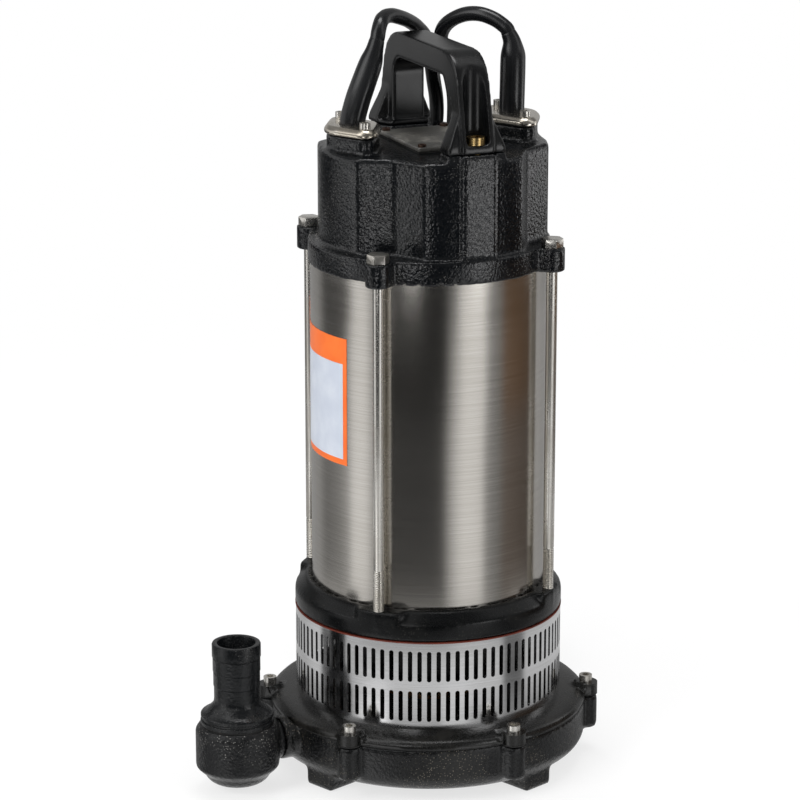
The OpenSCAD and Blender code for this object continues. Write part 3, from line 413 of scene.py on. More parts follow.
def moulded(name, look):
    # moulded plastic or rubber: fine skin texture, faint mottling, pale scuffs
    skin = mouldedSkin
    f = Finish(name, {"Specular IOR Level": look["gloss"]})
    spot = f.place()
    texture = f.noise(spot, look["skin"], *skin["skin"])
    mottle = f.noise(spot, *skin["mottle"])
    rubbed = f.noise(f.place(skin["scuffStretch"]), *skin["scuffs"])
    scuffs = f.step(rubbed, *skin["scuffFade"]) * look["scuff"]
    base = f.blend(f.step(mottle, *skin["mottleFade"]), look["dark"], look["light"])
    f.colour(f.blend(scuffs, base, look["mark"]))
    f.rough(look["rough"] + (mottle - middle) * skin["mottleRough"]
            + scuffs * skin["scuffRough"])
    f.relief(texture * skin["skinRelief"] + mottle * skin["mottleRelief"], look["strength"],
             look["depth"])
    return f.material


# the pale speck colour in each casting below is partly bare metal and partly painted highlight
# glints
coverCast = castIron("coverCastIron", {
    "dark": tone(6, 8, 11), "dust": tone(10, 11, 13), "chipsAndGlints": tone(150, 148, 142), "specks": 0.35,
    "grain": 560.0, "gloss": 0.5, "rough": 0.15, "strength": 0.36, "depth": 0.0012})
housingCast = castIron("housingCastIron", {
    "dark": tone(4, 5, 6), "dust": tone(9, 10, 10), "chipsAndGlints": tone(140, 136, 128), "specks": 0.12,
    "grain": 480.0, "gloss": 0.26, "rough": 0.27, "strength": 0.06, "depth": 0.0010})
casingCast = castIron("casingCastIron", {
    "dark": tone(9, 10, 11), "dust": tone(23, 23, 22), "chipsAndGlints": tone(150, 142, 128), "specks": 0.55,
    "grain": 520.0, "gloss": 0.42, "rough": 0.26, "strength": 0.36, "depth": 0.0012})
deckCast = castIron("casingCoverCastIron", {
    "dark": tone(13, 13, 12), "dust": tone(25, 24, 21), "chipsAndGlints": tone(130, 124, 112),
    "specks": 0.15, "grain": 460.0, "gloss": 0.5, "rough": 0.26, "strength": 0.16,
    "depth": 0.0008})
outletCast = castIron("outletCastIron", {
    "dark": tone(10, 11, 13), "dust": tone(21, 21, 22), "chipsAndGlints": tone(165, 163, 158), "specks": 0.9,
    "grain": 520.0, "gloss": 0.36, "rough": 0.28, "strength": 0.6, "depth": 0.0012})
tailIron = castIron("tailIron", {
    "dark": tone(11, 13, 15), "dust": tone(22, 23, 24), "chipsAndGlints": tone(140, 138, 134),
    "specks": 0.25, "grain": 560.0, "gloss": 0.42, "rough": 0.24, "strength": 0.30,
    "depth": 0.0009})
plateCast = castIron("accessPlateIron", {
    "dark": tone(76, 75, 72), "dust": tone(140, 137, 130), "chipsAndGlints": tone(150, 147, 140),
    "specks": 0.5, "grain": 380.0, "gloss": 0.5, "rough": 0.34, "strength": 0.4, "depth": 0.0012})
shellSteel = brushed("shellSteel", {
    "low": tone(194, 190, 183), "high": tone(208, 204, 198), "rough": 0.19, "streak": 0.07,
    "lean": 0.4, "along": 14.0, "across": 1500.0, "cloud": 9.0, "strength": 0.03})
strainerSteel = brushed("strainerSteel", {
    "low": tone(196, 196, 196), "high": tone(208, 208, 209), "rough": 0.15, "streak": 0.05,
    "lean": 0.1, "along": 30.0, "across": 900.0, "cloud": 40.0, "strength": 0.04})
glandSteel = plainMetal("glandSteel", {
    "clean": tone(216, 210, 200), "stained": tone(190, 182, 168), "grain": 260.0, "rough": 0.2,
    "strength": 0.04})
fastenerSteel = plainMetal("fastenerSteel", {
    "clean": tone(222, 219, 213), "stained": tone(206, 202, 194), "grain": 240.0, "rough": 0.26,
    "strength": 0.02})
screwCopper = plainMetal("screwCopper", {
    "clean": tone(112, 96, 88), "stained": tone(84, 66, 58), "grain": 420.0, "rough": 0.42,
    "strength": 0.2})
boltBrass = plainMetal("boltBrass", {
    "clean": tone(202, 176, 124), "stained": tone(150, 122, 76), "grain": 420.0, "rough": 0.26,
    "strength": 0.15})
bronzeMetal = plainMetal("castBronze", {
    "clean": tone(196, 146, 88), "stained": tone(142, 100, 58), "grain": 300.0, "rough": 0.42,
    "strength": 0.45})
shaftSteel = plainMetal("shaftSteel", {
    "clean": tone(206, 206, 208), "stained": tone(176, 176, 180), "grain": 520.0, "rough": 0.22,
    "strength": 0.10})
raceSteel = plainMetal("raceSteel", {
    "clean": tone(200, 202, 206), "stained": tone(178, 180, 186), "grain": 600.0, "rough": 0.16,
    "strength": 0.06})
sheetSteel = plainMetal("laminationSteel", {
    "clean": tone(118, 120, 124), "stained": tone(84, 84, 88), "grain": 500.0, "rough": 0.46,
    "strength": 0.30})
ringAluminium = plainMetal("ringAluminium", {
    "clean": tone(206, 207, 209), "stained": tone(176, 177, 180), "grain": 380.0, "rough": 0.38,
    "strength": 0.30})
windingCopper = plainMetal("windingCopper", {
    "clean": tone(176, 96, 52), "stained": tone(122, 58, 30), "grain": 900.0, "rough": 0.36,
    "strength": 0.60})
coreCopper = plainMetal("ferruleMetal", {
    "clean": tone(208, 205, 200), "stained": tone(176, 172, 165), "grain": 500.0, "rough": 0.3,
    "strength": 0.15})
handlePlastic = moulded("handlePlastic", {
    "dark": tone(8, 9, 10), "light": tone(17, 17, 18), "mark": tone(76, 76, 78), "scuff": 0.4,
    "skin": 1500.0, "gloss": 0.42, "rough": 0.24, "strength": 0.02, "depth": 0.0003})
leadRubber = moulded("leadRubber", {
    "dark": tone(12, 13, 15), "light": tone(18, 19, 21), "mark": tone(74, 76, 80), "scuff": 0.12,
    "skin": 700.0, "gloss": 0.5, "rough": 0.24, "strength": 0.004, "depth": 0.0003})
sleeveRubber = moulded("sleeveRubber", {
    "dark": tone(13, 14, 16), "light": tone(20, 21, 23), "mark": tone(80, 82, 86), "scuff": 0.18,
    "skin": 700.0, "gloss": 0.5, "rough": 0.24, "strength": 0.02, "depth": 0.0003})
redGasket = moulded("redGasket", {
    "dark": tone(84, 32, 20), "light": tone(108, 42, 26), "mark": tone(46, 30, 26), "scuff": 0.6,
    "skin": 900.0, "gloss": 0.3, "rough": 0.6, "strength": 0.3, "depth": 0.0003})
blackGasket = moulded("blackGasket", {
    "dark": tone(22, 22, 22), "light": tone(34, 34, 33), "mark": tone(60, 60, 58), "scuff": 0.3,
    "skin": 900.0, "gloss": 0.3, "rough": 0.65, "strength": 0.3, "depth": 0.0003})
sealRubber = moulded("sealRubber", {
    "dark": tone(24, 24, 26), "light": tone(34, 34, 36), "mark": tone(70, 70, 70), "scuff": 0.1,
    "skin": 1200.0, "gloss": 0.35, "rough": 0.5, "strength": 0.2, "depth": 0.0002})
sealCeramic = moulded("sealCeramic", {
    "dark": tone(222, 218, 208), "light": tone(236, 233, 226), "mark": tone(190, 184, 172),
    "scuff": 0.15, "skin": 2000.0, "gloss": 0.55, "rough": 0.25, "strength": 0.08,
    "depth": 0.0002})
sealCarbon = moulded("sealCarbon", {
    "dark": tone(38, 38, 41), "light": tone(50, 50, 54), "mark": tone(86, 86, 90), "scuff": 0.15,
    "skin": 1800.0, "gloss": 0.5, "rough": 0.3, "strength": 0.1, "depth": 0.0002})
canPlastic = moulded("capacitorCan", {
    "dark": tone(206, 204, 196), "light": tone(222, 220, 214), "mark": tone(160, 158, 150),
    "scuff": 0.3, "skin": 1000.0, "gloss": 0.45, "rough": 0.38, "strength": 0.12, "depth": 0.0003})
terminalPlastic = moulded("terminalPlastic", {
    "dark": tone(60, 36, 24), "light": tone(82, 50, 34), "mark": tone(120, 90, 70), "scuff": 0.2,
    "skin": 1200.0, "gloss": 0.5, "rough": 0.35, "strength": 0.15, "depth": 0.0003})
labelVinyl = {"scuff": 0.3, "skin": 600.0, "gloss": 0.5, "rough": 0.34, "strength": 0.06,
              "depth": 0.0002}
labelOrange = moulded("labelOrange", {
    **labelVinyl,
    "dark": tone(236, 104, 30), "light": tone(242, 116, 40), "mark": tone(200, 100, 50)})
labelWhite = moulded("labelWhite", {
    **labelVinyl,
    "dark": tone(190, 197, 210), "light": tone(204, 210, 220), "mark": tone(170, 174, 184)})
tieNylon = moulded("tieNylon", {
    "dark": tone(30, 30, 30), "light": tone(42, 42, 42), "mark": tone(90, 90, 90), "scuff": 0.2,
    "skin": 700.0, "gloss": 0.45, "rough": 0.4, "strength": 0.3, "depth": 0.0002})
coreInsulation = {"scuff": 0.2, "skin": 1200.0, "gloss": 0.45, "rough": 0.42,
                  "strength": 0.12, "depth": 0.0002}
coreBrown = moulded("coreBrown", {
    **coreInsulation,
    "dark": tone(96, 56, 30), "light": tone(112, 66, 36), "mark": tone(140, 100, 70)})
coreBlue = moulded("coreBlue", {
    **coreInsulation,
    "dark": tone(28, 66, 130), "light": tone(38, 80, 150), "mark": tone(90, 120, 170)})
coreGreen = moulded("coreGreen", {
    **coreInsulation,
    "dark": tone(48, 118, 44), "light": tone(196, 184, 46), "mark": tone(120, 150, 90)})
print("finishes made")


leadLook = {
    "radius": 0.005,
    "roundness": 4,
    "steps": 5,  # points from one of a route's points to the next
    "runIn": 0.020,  # straight into the coil
    "coilCentre": (0.002, 0.205),
    "coilOut": 0.0752375,  # radius of the outermost turn
    "coilStep": 0.0106,  # from a turn to the next, and from a layer to the next
    "layerTurns": 2.875,
    "layers": 4,
    "turns": 11.5,
    "perTurn": 40,
    "climb": 0.25,  # turns on each side of a change of layer that the rise takes
    "leftBase": 0.00005,  # where each coil lies
    "rightBase": 0.042,
}


def coilLine(sense, base):
    # wound inwards and outwards by turns, each layer one step above the last
    look = leadLook
    line = []
    for i in range(round(look["turns"] * look["perTurn"]) + 1):
        t = i / look["perTurn"]
        layer = math.floor(t / look["layerTurns"])
        s = t / look["layerTurns"] - layer
        inward = look["layerTurns"] * look["coilStep"] * (s if layer % 2 == 0 else 1 - s)
        radius = look["coilOut"] - inward
        change = math.floor(t / look["layerTurns"] + 0.5)  # the nearest one
        if change < 1:
            height = 0
        elif change >= look["layers"]:
            height = look["layers"] - 1
        else:
            past = t - change * look["layerTurns"] + look["climb"]
            risen = min(max(past / (2 * look["climb"]), 0), 1)
            height = change - 1 + (1 - math.cos(math.pi * risen)) / 2
        turn = 2 * math.pi * t
        line.append(Vector((look["coilCentre"][0] + sense * radius * math.sin(turn),
                            look["coilCentre"][1] - radius * math.cos(turn),
                            base + look["radius"] + look["coilStep"] * height)))
    line.append(line[-1] + Vector((-sense * 2 * look["radius"], 0, 0)))
    return line


def millimetres(points):
    return [Vector(p) / 1000 for p in points]


def makeLead(name, route, sense, base, stands):
    look = leadLook
    start = Vector((look["coilCentre"][0] - sense * 2 * look["radius"],
                    look["coilCentre"][1] - look["coilOut"], base + look["radius"]))
    along = [start - Vector((sense * look["runIn"], 0, 0)), start]
    line = smoothLine(millimetres(route) + along, look["steps"]) + coilLine(sense, base)
    curve = bpy.data.curves.new(name, "CURVE")
    curve.dimensions = "3D"
    curve.bevel_depth = look["radius"]
    curve.bevel_resolution = look["roundness"]
    curve.use_fill_caps = True
    spline = curve.splines.new("POLY")
    spline.points.add(len(line) - 1)
    for point, spot in zip(spline.points, line):
        point.co = (*spot, 1)
    spline.use_smooth = True
    curve.materials.append(leadRubber)
    lead = addObject(name, curve)
    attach(lead, "pump")
    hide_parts(*stands)
    length = sum((b - a).length for a, b in zip(line, line[1:]))
    print(name, "is", round(length, 4), "m long")
    return lead, line


# the routes from the sleeves to the coils, in millimetres
leftRoute = [
    (-34.7, -13.5, 501), (-34.1, -12.7, 503.4),
    (-33.6, -11, 506.6), (-32.3, -6, 511.2), (-30.1, 2.5, 513.6),
    (-25.4, 15, 513.2), (-18.4, 30, 509.2), (-12.8, 43.5, 504.6), (-7.2, 55.5, 498.4),
    (-1.6, 64.5, 489.6), (1.4, 71.5, 475.5), (3.6, 77.5, 459), (5.6, 83.5, 444),
    (5.6, 90, 428), (2.5, 93.3, 408), (-5, 93.5, 380), (-9, 94, 350),
    (-14, 94.5, 320), (-19, 95, 290), (-24, 96, 260), (-29, 97, 230),
    (-34, 98, 200), (-39, 99.5, 170), (-43.5, 101.5, 140), (-48, 105, 110),
    (-52, 110.5, 82), (-53, 117.5, 58), (-49.5, 124, 37), (-41, 128, 20),
    (-29, 129.5, 9.5)]
rightRoute = [
    (53, 23.2, 500), (51.9, 23.65, 502.75),
    (49.4, 25.1, 505), (43.6, 28, 508.6), (34.8, 32.2, 511.3),
    (25.6, 37.6, 510.7), (17.2, 43, 506.9), (10.9, 48, 501), (8.2, 51.8, 493.5),
    (9.4, 55.5, 484), (12.6, 60, 473.5), (15.4, 66, 462), (17.2, 73, 451.5),
    (17.8, 80.5, 442.5), (17.8, 87.5, 433), (17.5, 92.3, 419), (17.2, 94, 400),
    (18, 94, 375), (20, 94, 350), (23, 94.5, 320), (26, 95, 290),
    (29.5, 96, 260), (33.5, 97, 230), (38, 98, 200), (43, 99.5, 170),
    (48, 102, 142), (52.5, 107, 116), (54, 114, 94), (51, 121.5, 75),
    (43, 127.5, 59), (32.5, 129.5, 50)]
leftLead, leftLine = makeLead("leftLead", leftRoute, 1, leadLook["leftBase"],
                              ("left_lead", "left_lead_coil"))
rightLead, rightLine = makeLead("rightLead", rightRoute, -1, leadLook["rightBase"],
                                ("right_lead", "right_lead_coil"))


coreLook = {
    "apart": 2.0944,  # radians from a core to the next
    "spread": 0.0022,
    # both turned, as (radius, height) from the lead's end
    "core": [(0, -0.003), (0.0015, -0.003), (0.0015, 0.0317), (0.0012, 0.032), (0, 0.032)],
    "ferrule": [(0, 0.030), (0.001408, 0.030), (0.001408, 0.0326), (0.0011, 0.0332),
                (0.0011, 0.0407), (0, 0.041)],
    "coreSides": 20,
    "ferruleSides": 16,
}


def makeCores(name, line, stands):
    # three insulated cores, each with a crimped ferrule
    look = coreLook
    finishes = [coreBrown, coreBlue, coreGreen, coreCopper]
    bm = bmesh.new()
    for k in range(3):
        turn = k * look["apart"]
        side = Vector((math.cos(turn), math.sin(turn), 0)) * look["spread"]
        core = lathe(look["core"], look["coreSides"], side)
        ferrule = lathe(look["ferrule"], look["ferruleSides"], side)
        for part, finish in ((core, k), (ferrule, 3)):
            for face in part.faces:
                face.material_index = finish
        joinTo(bm, (core, ferrule))
    ahead = (line[-1] - line[-2]).normalized()
    facing = ahead.to_track_quat("Z", "Y").to_matrix().to_4x4()
    bmesh.ops.transform(bm, matrix=Matrix.Translation(line[-1]) @ facing, verts=bm.verts)
    return addPiece(bm, name, "pump", finishes, stands)


tieLook = {
    "width": 0.009, "thick": 0.0011, "clear": 0.0003, "corner": 0.0045, "cornerSteps": 5,
    "left": (30, 200),  # where the ties stand round each coil, in degrees
    "right": (42, 212),
}


def makeTie(name, base, angle):
    # a flat strap pulled round the coil's bundle
    look = tieLook
    wound = leadLook["layerTurns"] * leadLook["coilStep"]
    inner = leadLook["coilOut"] - wound - leadLook["radius"] - look["clear"]
    outer = leadLook["coilOut"] + leadLook["radius"] + look["clear"]
    top = base + 2 * leadLook["radius"] + (leadLook["layers"] - 1) * leadLook["coilStep"]
    bm = bmesh.new()
    corners = [bm.verts.new((x, -look["width"] / 2, z)) for x, z in (
        (inner, base), (outer, base), (outer, top), (inner, top))]
    for pair in zip(corners, corners[1:] + corners[:1]):
        bm.edges.new(pair)
    bmesh.ops.bevel(bm, geom=corners, offset=look["corner"], segments=look["cornerSteps"],
                    profile=0.5, affect="VERTICES", material=-1)
    made = bmesh.ops.extrude_edge_only(bm, edges=bm.edges[:])
    bmesh.ops.translate(bm, vec=(0, look["width"], 0), verts=vertsOf(made))
    bmesh.ops.recalc_face_normals(bm, faces=bm.faces)
    bmesh.ops.solidify(bm, geom=bm.faces[:], thickness=look["thick"])
    bmesh.ops.recalc_face_normals(bm, faces=bm.faces)
    spin = Matrix.Rotation(math.radians(angle), 4, "Z")
    place = Matrix.Translation((*leadLook["coilCentre"], 0))
    bmesh.ops.transform(bm, matrix=place @ spin, verts=bm.verts)
    return addPiece(bm, name, "pump", [tieNylon])


leftCores = makeCores("leftCores", leftLine, ("left_lead_end",))
rightCores = makeCores("rightCores", rightLine, ("right_lead_end",))
leftTies, rightTies = (
    [makeTie(side + "Tie" + str(i), leadLook[side + "Base"], angle)
     for i, angle in enumerate(tieLook[side])] for side in ("left", "right"))
print("leads laid")


sleeveLook = {
    # the middle line and the radii along it, in millimetres
    "left": ([(-50.5, -22, 442), (-50.5, -22, 450), (-47.2, -21.2, 463), (-43, -19.8, 475),
              (-38.6, -17.3, 487), (-36.2, -15.5, 495), (-34.7, -13.5, 501)],
             [8.4, 8.4, 8.4, 8.2, 7.7, 5.9, 5.1]),
    "right": ([(55.5, 22, 442), (55.5, 22, 450), (55.8, 22, 466), (56, 22, 480),
               (56, 22, 487), (55.2, 22.3, 494.5), (53, 23.2, 500)],
              [8.5, 8.5, 8.5, 8.5, 8.1, 6.1, 5.1]),
    "sides": 40,
    "steps": 6,
    "lipLength": 0.0006,
    "lipShrink": 0.93,
    "sharp": 50,
}


def makeSleeve(side, stands):
    look = sleeveLook
    points, radii = look[side]
    line = smoothLine(millimetres(points), look["steps"])
    sizes = smoothLine([Vector((r / 1000, 0, 0)) for r in radii], look["steps"])
    bm = bmesh.new()
    rings = []
    for i, spot in enumerate(line):
        ahead = line[min(i + 1, len(line) - 1)] - line[max(i - 1, 0)]
        turn = Vector((0, 0, 1)).rotation_difference(ahead).to_matrix().to_4x4()
        made = bmesh.ops.create_circle(bm, cap_ends=False, segments=look["sides"],
                                       radius=sizes[i].x, matrix=Matrix.Translation(spot) @ turn)
        ring = list(dict.fromkeys(e for v in made["verts"] for e in v.link_edges))
        if rings:
            bmesh.ops.bridge_loops(bm, edges=rings[-1] + ring)
        rings.append(ring)
    bmesh.ops.edgeloop_fill(bm, edges=rings[0])
    # the mouth rolls in to the lead
    lip = bmesh.ops.extrude_edge_only(bm, edges=rings[-1])
    ahead = (line[-1] - line[-2]).normalized() * look["lipLength"]
    bmesh.ops.translate(bm, verts=vertsOf(lip), vec=ahead)
    bmesh.ops.scale(bm, vec=[look["lipShrink"]] * 3, verts=vertsOf(lip),
                    space=Matrix.Translation(-line[-1] - ahead))
    bmesh.ops.edgeloop_fill(bm, edges=edgesOf(lip))
    bmesh.ops.recalc_face_normals(bm, faces=bm.faces)
    addPiece(bm, side + "SleeveRubber", "pump", [sleeveRubber], stands,
             look["sharp"])


makeSleeve("left", ("left_sleeve",))
makeSleeve("right", ("right_sleeve",))
print("sleeves made")


rodLook = {
    "angles": (-22.5, 67.5, 157.5, 247.5),
    "circle": 0.088,
    "radius": 0.0037,
    "root": 0.0032,
    "pitch": 0.00125,
    "thread": (0.15, 0.55, 0.7, 1.1),  # where a turn rises, peaks, falls and ends, in pitches
    "low": 0.1286,
    "threadTop": 0.1570,
    "seat": 0.3670,  # the flange's top, which the heads press on
    "inHead": 0.001,  # how far the rod reaches into its head
    "sides": 28,
    "flats": 0.013,
    "headHeight": 0.006,
    "headTurn": 11,  # degrees, so that no two heads stand the same way
    "chamfer": 0.0011,
    "edge": 0.0003,
    "sharp": 25,
}
# fills each stud's hole below its thread
studPlug = {"low": 0.1175, "high": 0.1294, "radius": 0.0042, "sides": 24}


def plugStuds(bm):
    look = studPlug
    for angle in rodLook["angles"]:
        spot = placeAt(angle, rodLook["circle"], (look["low"] + look["high"]) / 2)
        bmesh.ops.create_cone(bm, cap_ends=True, segments=look["sides"], radius1=look["radius"],
                              radius2=look["radius"], depth=look["high"] - look["low"],
                              matrix=Matrix.Translation(spot))


# each piece's node, voxel, rounds of smoothing, finish and slot
castings = {
    "topCoverCasting": ("top_cover", 0.0014, 3, coverCast, "cast_cover"),
    "lowerHousingCasting": ("lower_housing", 0.0014, 5, housingCast, "cast_housing"),
    "volute": ("volute_casing", 0.0016, 4, casingCast, "cast_casing"),
    "elbow": ("outlet_elbow", 0.0009, 7, outletCast, "cast_outlet"),
    "carryHandle": ("handle", 0.0008, 11, handlePlastic, "handle_plastic"),
    "accessLid": ("access_plate", 0.0006, 4, plateCast, "cast_cover"),
    "leftGland": ("left_gland_plate", 0.0005, 16, glandSteel, "gland_steel"),
    "rightGland": ("right_gland_plate", 0.0005, 16, glandSteel, "gland_steel"),
}
for name, (node, voxel, rounds, finish, slot) in castings.items():
    bm = copyOf(node)
    if node == "lower_housing":
        plugStuds(bm)
    bm = softened(bm, voxel, rounds)
    print(name, "has", len(bm.faces), "faces")
    body = body_of(nodes[node])[0]
    addPiece(bm, name, body, [finish], (node,), 0)


def rodProfile(look):
    # a thread at the foot and a plain rod above it, as (radius, height)
    radius, low, top = look["radius"], look["low"], look["seat"] + look["inHead"]
    thread, end = threadTurns(look, radius, low, look["threadTop"])
    return [(0, low), (look["root"], low), *thread, (radius, end + look["pitch"]),
            (radius, top), (0, top)]


def rodHead(look, turn, spot):
    # a hexagon with rounded top corners, from its seat up
    head = bmesh.new()
    bmesh.ops.create_circle(head, cap_ends=True, segments=6, radius=look["flats"] / math.sqrt(3))
    pushed = bmesh.ops.extrude_face_region(head, geom=head.faces[:])
    top = vertsOf(pushed)
    bmesh.ops.translate(head, verts=top, vec=(0, 0, look["headHeight"]))
    bmesh.ops.bevel(head, geom=top, offset=look["chamfer"], segments=2, profile=0.5,
                    affect="VERTICES", material=-1)
    bmesh.ops.bevel(head, geom=head.edges[:], offset=look["edge"], segments=2, profile=0.5,
                    affect="EDGES", material=-1)
    bmesh.ops.rotate(head, verts=head.verts, cent=(0, 0, 0),
                     matrix=Matrix.Rotation(math.radians(turn), 3, "Z"))
    bmesh.ops.translate(head, verts=head.verts, vec=spot + Vector((0, 0, look["seat"])))
    bmesh.ops.recalc_face_normals(head, faces=head.faces)
    return head


def makeRods():
    look = rodLook
    bm = bmesh.new()
    for i, angle in enumerate(look["angles"]):
        spot = placeAt(angle, look["circle"])
        rod = lathe(rodProfile(look), look["sides"], spot)
        joinTo(bm, (rod, rodHead(look, angle + look["headTurn"] * i, spot)))
    addPiece(bm, "tieRods", "pump", [fastenerSteel], ("tie_bolts",),
             look["sharp"])


makeRods()
print("tie rods made")


labelLook = {
    "radius": 0.0801, "thick": 0.00012, "lift": 0.0001,  # how far the field stands over the rim
    "right": -43.0, "sweep": 62.0, "low": 0.223, "high": 0.310,
    "rimTurn": 2.6, "rimLow": 0.004, "header": 0.0175,
    "rows": 8, "columns": 40, "sharp": 40,
}


def curvedSheet(name, right, sweep, low, high, radius, finish):
    # from its right edge in degrees, sweeping to the left round the shell
    look = labelLook
    bm = bmesh.new()
    line = [bm.verts.new(placeAt(right, radius, low + (high - low) * k / look["rows"]))
            for k in range(look["rows"] + 1)]
    edges = [bm.edges.new(pair) for pair in zip(line, line[1:])]
    bmesh.ops.spin(bm, geom=line + edges, cent=(0, 0, 0), axis=(0, 0, 1),
                   angle=-math.radians(sweep), steps=look["columns"])
    bmesh.ops.recalc_face_normals(bm, faces=bm.faces)
    # an open sheet may face either way, and this one has to face out
    if sum(face.normal.xy.dot(face.calc_center_median().xy) for face in bm.faces) < 0:
        bmesh.ops.reverse_faces(bm, faces=bm.faces)
    bmesh.ops.solidify(bm, geom=bm.faces[:], thickness=-look["thick"])
    bmesh.ops.recalc_face_normals(bm, faces=bm.faces)
    addPiece(bm, name, "pump", [finish], (), look["sharp"])


def makeLabel():
    # a blank pale field on an orange rim with a header
    look = labelLook
    curvedSheet("labelRim", look["right"], look["sweep"], look["low"], look["high"],
                look["radius"], labelOrange)
    curvedSheet("labelField", look["right"] - look["rimTurn"],
                look["sweep"] - 2 * look["rimTurn"], look["low"] + look["rimLow"],
                look["high"] - look["header"], look["radius"] + look["lift"], labelWhite)


makeLabel()
print("label made")


# each piece's node, finish, slot, sharp angle and the radii that shade as cylinders
smoothCopies = {
    "motorShell": ("motor_shell", shellSteel, "shell_steel", 30, (0.0800, 0.0775)),
    "strainerSheet": ("strainer", strainerSteel, "strainer_steel", 30, (0.0915, 0.0900)),
    "casingDeck": ("casing_cover", deckCast, "cast_casing_cover", 40, ()),
}
sheetShading = {"facing": 0.9, "near": 0.0002}  # which faces and corners lie on the sheet


def roundShading(piece, radii):
    # sheet rolled round the Z axis shades as a true cylinder, whatever its triangles are
    mesh = piece.data
    normals = []
    for face in mesh.polygons:
        side = face.normal.dot(Vector((face.center.x, face.center.y, 0)).normalized())
        for corner in face.vertices:
            spot = mesh.vertices[corner].co
            off = min(abs(spot.xy.length - radius) for radius in radii)
            if abs(side) > sheetShading["facing"] and off < sheetShading["near"]:
                out = Vector((spot.x, spot.y, 0)).normalized()
                normals.append(out * (1 if side > 0 else -1))
            else:
                normals.append(face.normal.copy())
    mesh.normals_split_custom_set(normals)


for name, (node, finish, slot, sharp, radii) in smoothCopies.items():
    body = body_of(nodes[node])[0]
    piece = addPiece(copyOf(node), name, body, [finish], (node,), sharp)
    if radii:
        roundShading(piece, radii)


tailLook = {
    "turn": -60.4, "out": 0.1488,  # where the outlet stands
    "bore": 0.0128, "spigot": 0.0190, "root": 0.0179, "pitch": 0.0023,
    "thread": (0, 0.35, 0.55, 0.9),  # where a turn rises, peaks, falls and ends, in pitches
    "plain": 0.0004,  # left unthreaded at each end
    "mouth": 0.0005,  # the bore's rounding at the top
    "low": 0.0330, "seat": 0.0478,
    # the collar, the shoulder and the three lands, as (radius, height)
    "outside": [
        (0.0245, 0.0478), (0.0248, 0.0481), (0.0248, 0.0501), (0.0245, 0.0504), (0.0238, 0.0506),
        (0.0238, 0.0518), (0.0243, 0.0521), (0.0246, 0.0525), (0.0246, 0.0542), (0.0242, 0.0547),
        (0.0231, 0.0549), (0.0205, 0.0569), (0.0172, 0.0602), (0.0158, 0.0622), (0.0154, 0.0650),
        (0.0154, 0.0739), (0.0158, 0.0745), (0.0158, 0.0836), (0.0155, 0.0840), (0.0155, 0.0843),
        (0.0161, 0.0848), (0.0161, 0.0936), (0.0157, 0.0940), (0.0157, 0.0943), (0.0165, 0.0949),
        (0.0165, 0.1032), (0.0161, 0.1041), (0.0155, 0.1043), (0.0137, 0.1043), (0.0130, 0.1040)],
    "steps": 96,
    "sharp": 28,
}


def makeTail():
    look = tailLook
    bore, root, low = look["bore"], look["root"], look["low"]
    thread = threadTurns(look, look["spigot"], low + look["plain"],
                         look["seat"] - look["plain"] - look["pitch"])[0]
    profile = [(bore, low), (root, low), *thread, (root, look["seat"]), *look["outside"],
               (bore, look["outside"][-1][1] - look["mouth"]), (bore, low)]
    bm = lathe(profile, look["steps"], placeAt(look["turn"], look["out"]))
    addPiece(bm, "hoseTail", "tail", [tailIron], ("hose_tail",), look["sharp"])


makeTail()
print("sheet and turned parts made")


# the CAD parts that stay take a finish by their slot
slotFinishes = {
    "cast_cover": coverCast, "cast_housing": housingCast, "cast_casing": casingCast,
    "cast_casing_cover": deckCast, "cast_outlet": outletCast, "tail_iron": tailIron,
    "shell_steel": shellSteel, "strainer_steel": strainerSteel, "gland_steel": glandSteel,
    "fastener_steel": fastenerSteel, "screw_copper": screwCopper, "bolt_brass": boltBrass,
    "handle_plastic": handlePlastic, "red_gasket": redGasket, "black_gasket": blackGasket,
    "lead_rubber": leadRubber, "core_copper": coreCopper, "bronze": bronzeMetal,
    "shaft_steel": shaftSteel, "race_steel": raceSteel, "core_sheet": sheetSteel,
    "ring_aluminium": ringAluminium, "winding_copper": windingCopper, "seal_ceramic": sealCeramic,
    "seal_carbon": sealCarbon, "seal_rubber": sealRubber, "can_plastic": canPlastic,
    "terminal_plastic": terminalPlastic,
}
for part in frame["record"]["subparts"]:
    for spot in nodes[part["node"]].material_slots:
        spot.material = slotFinishes[part["material_slot"]]
print("CAD parts finished")


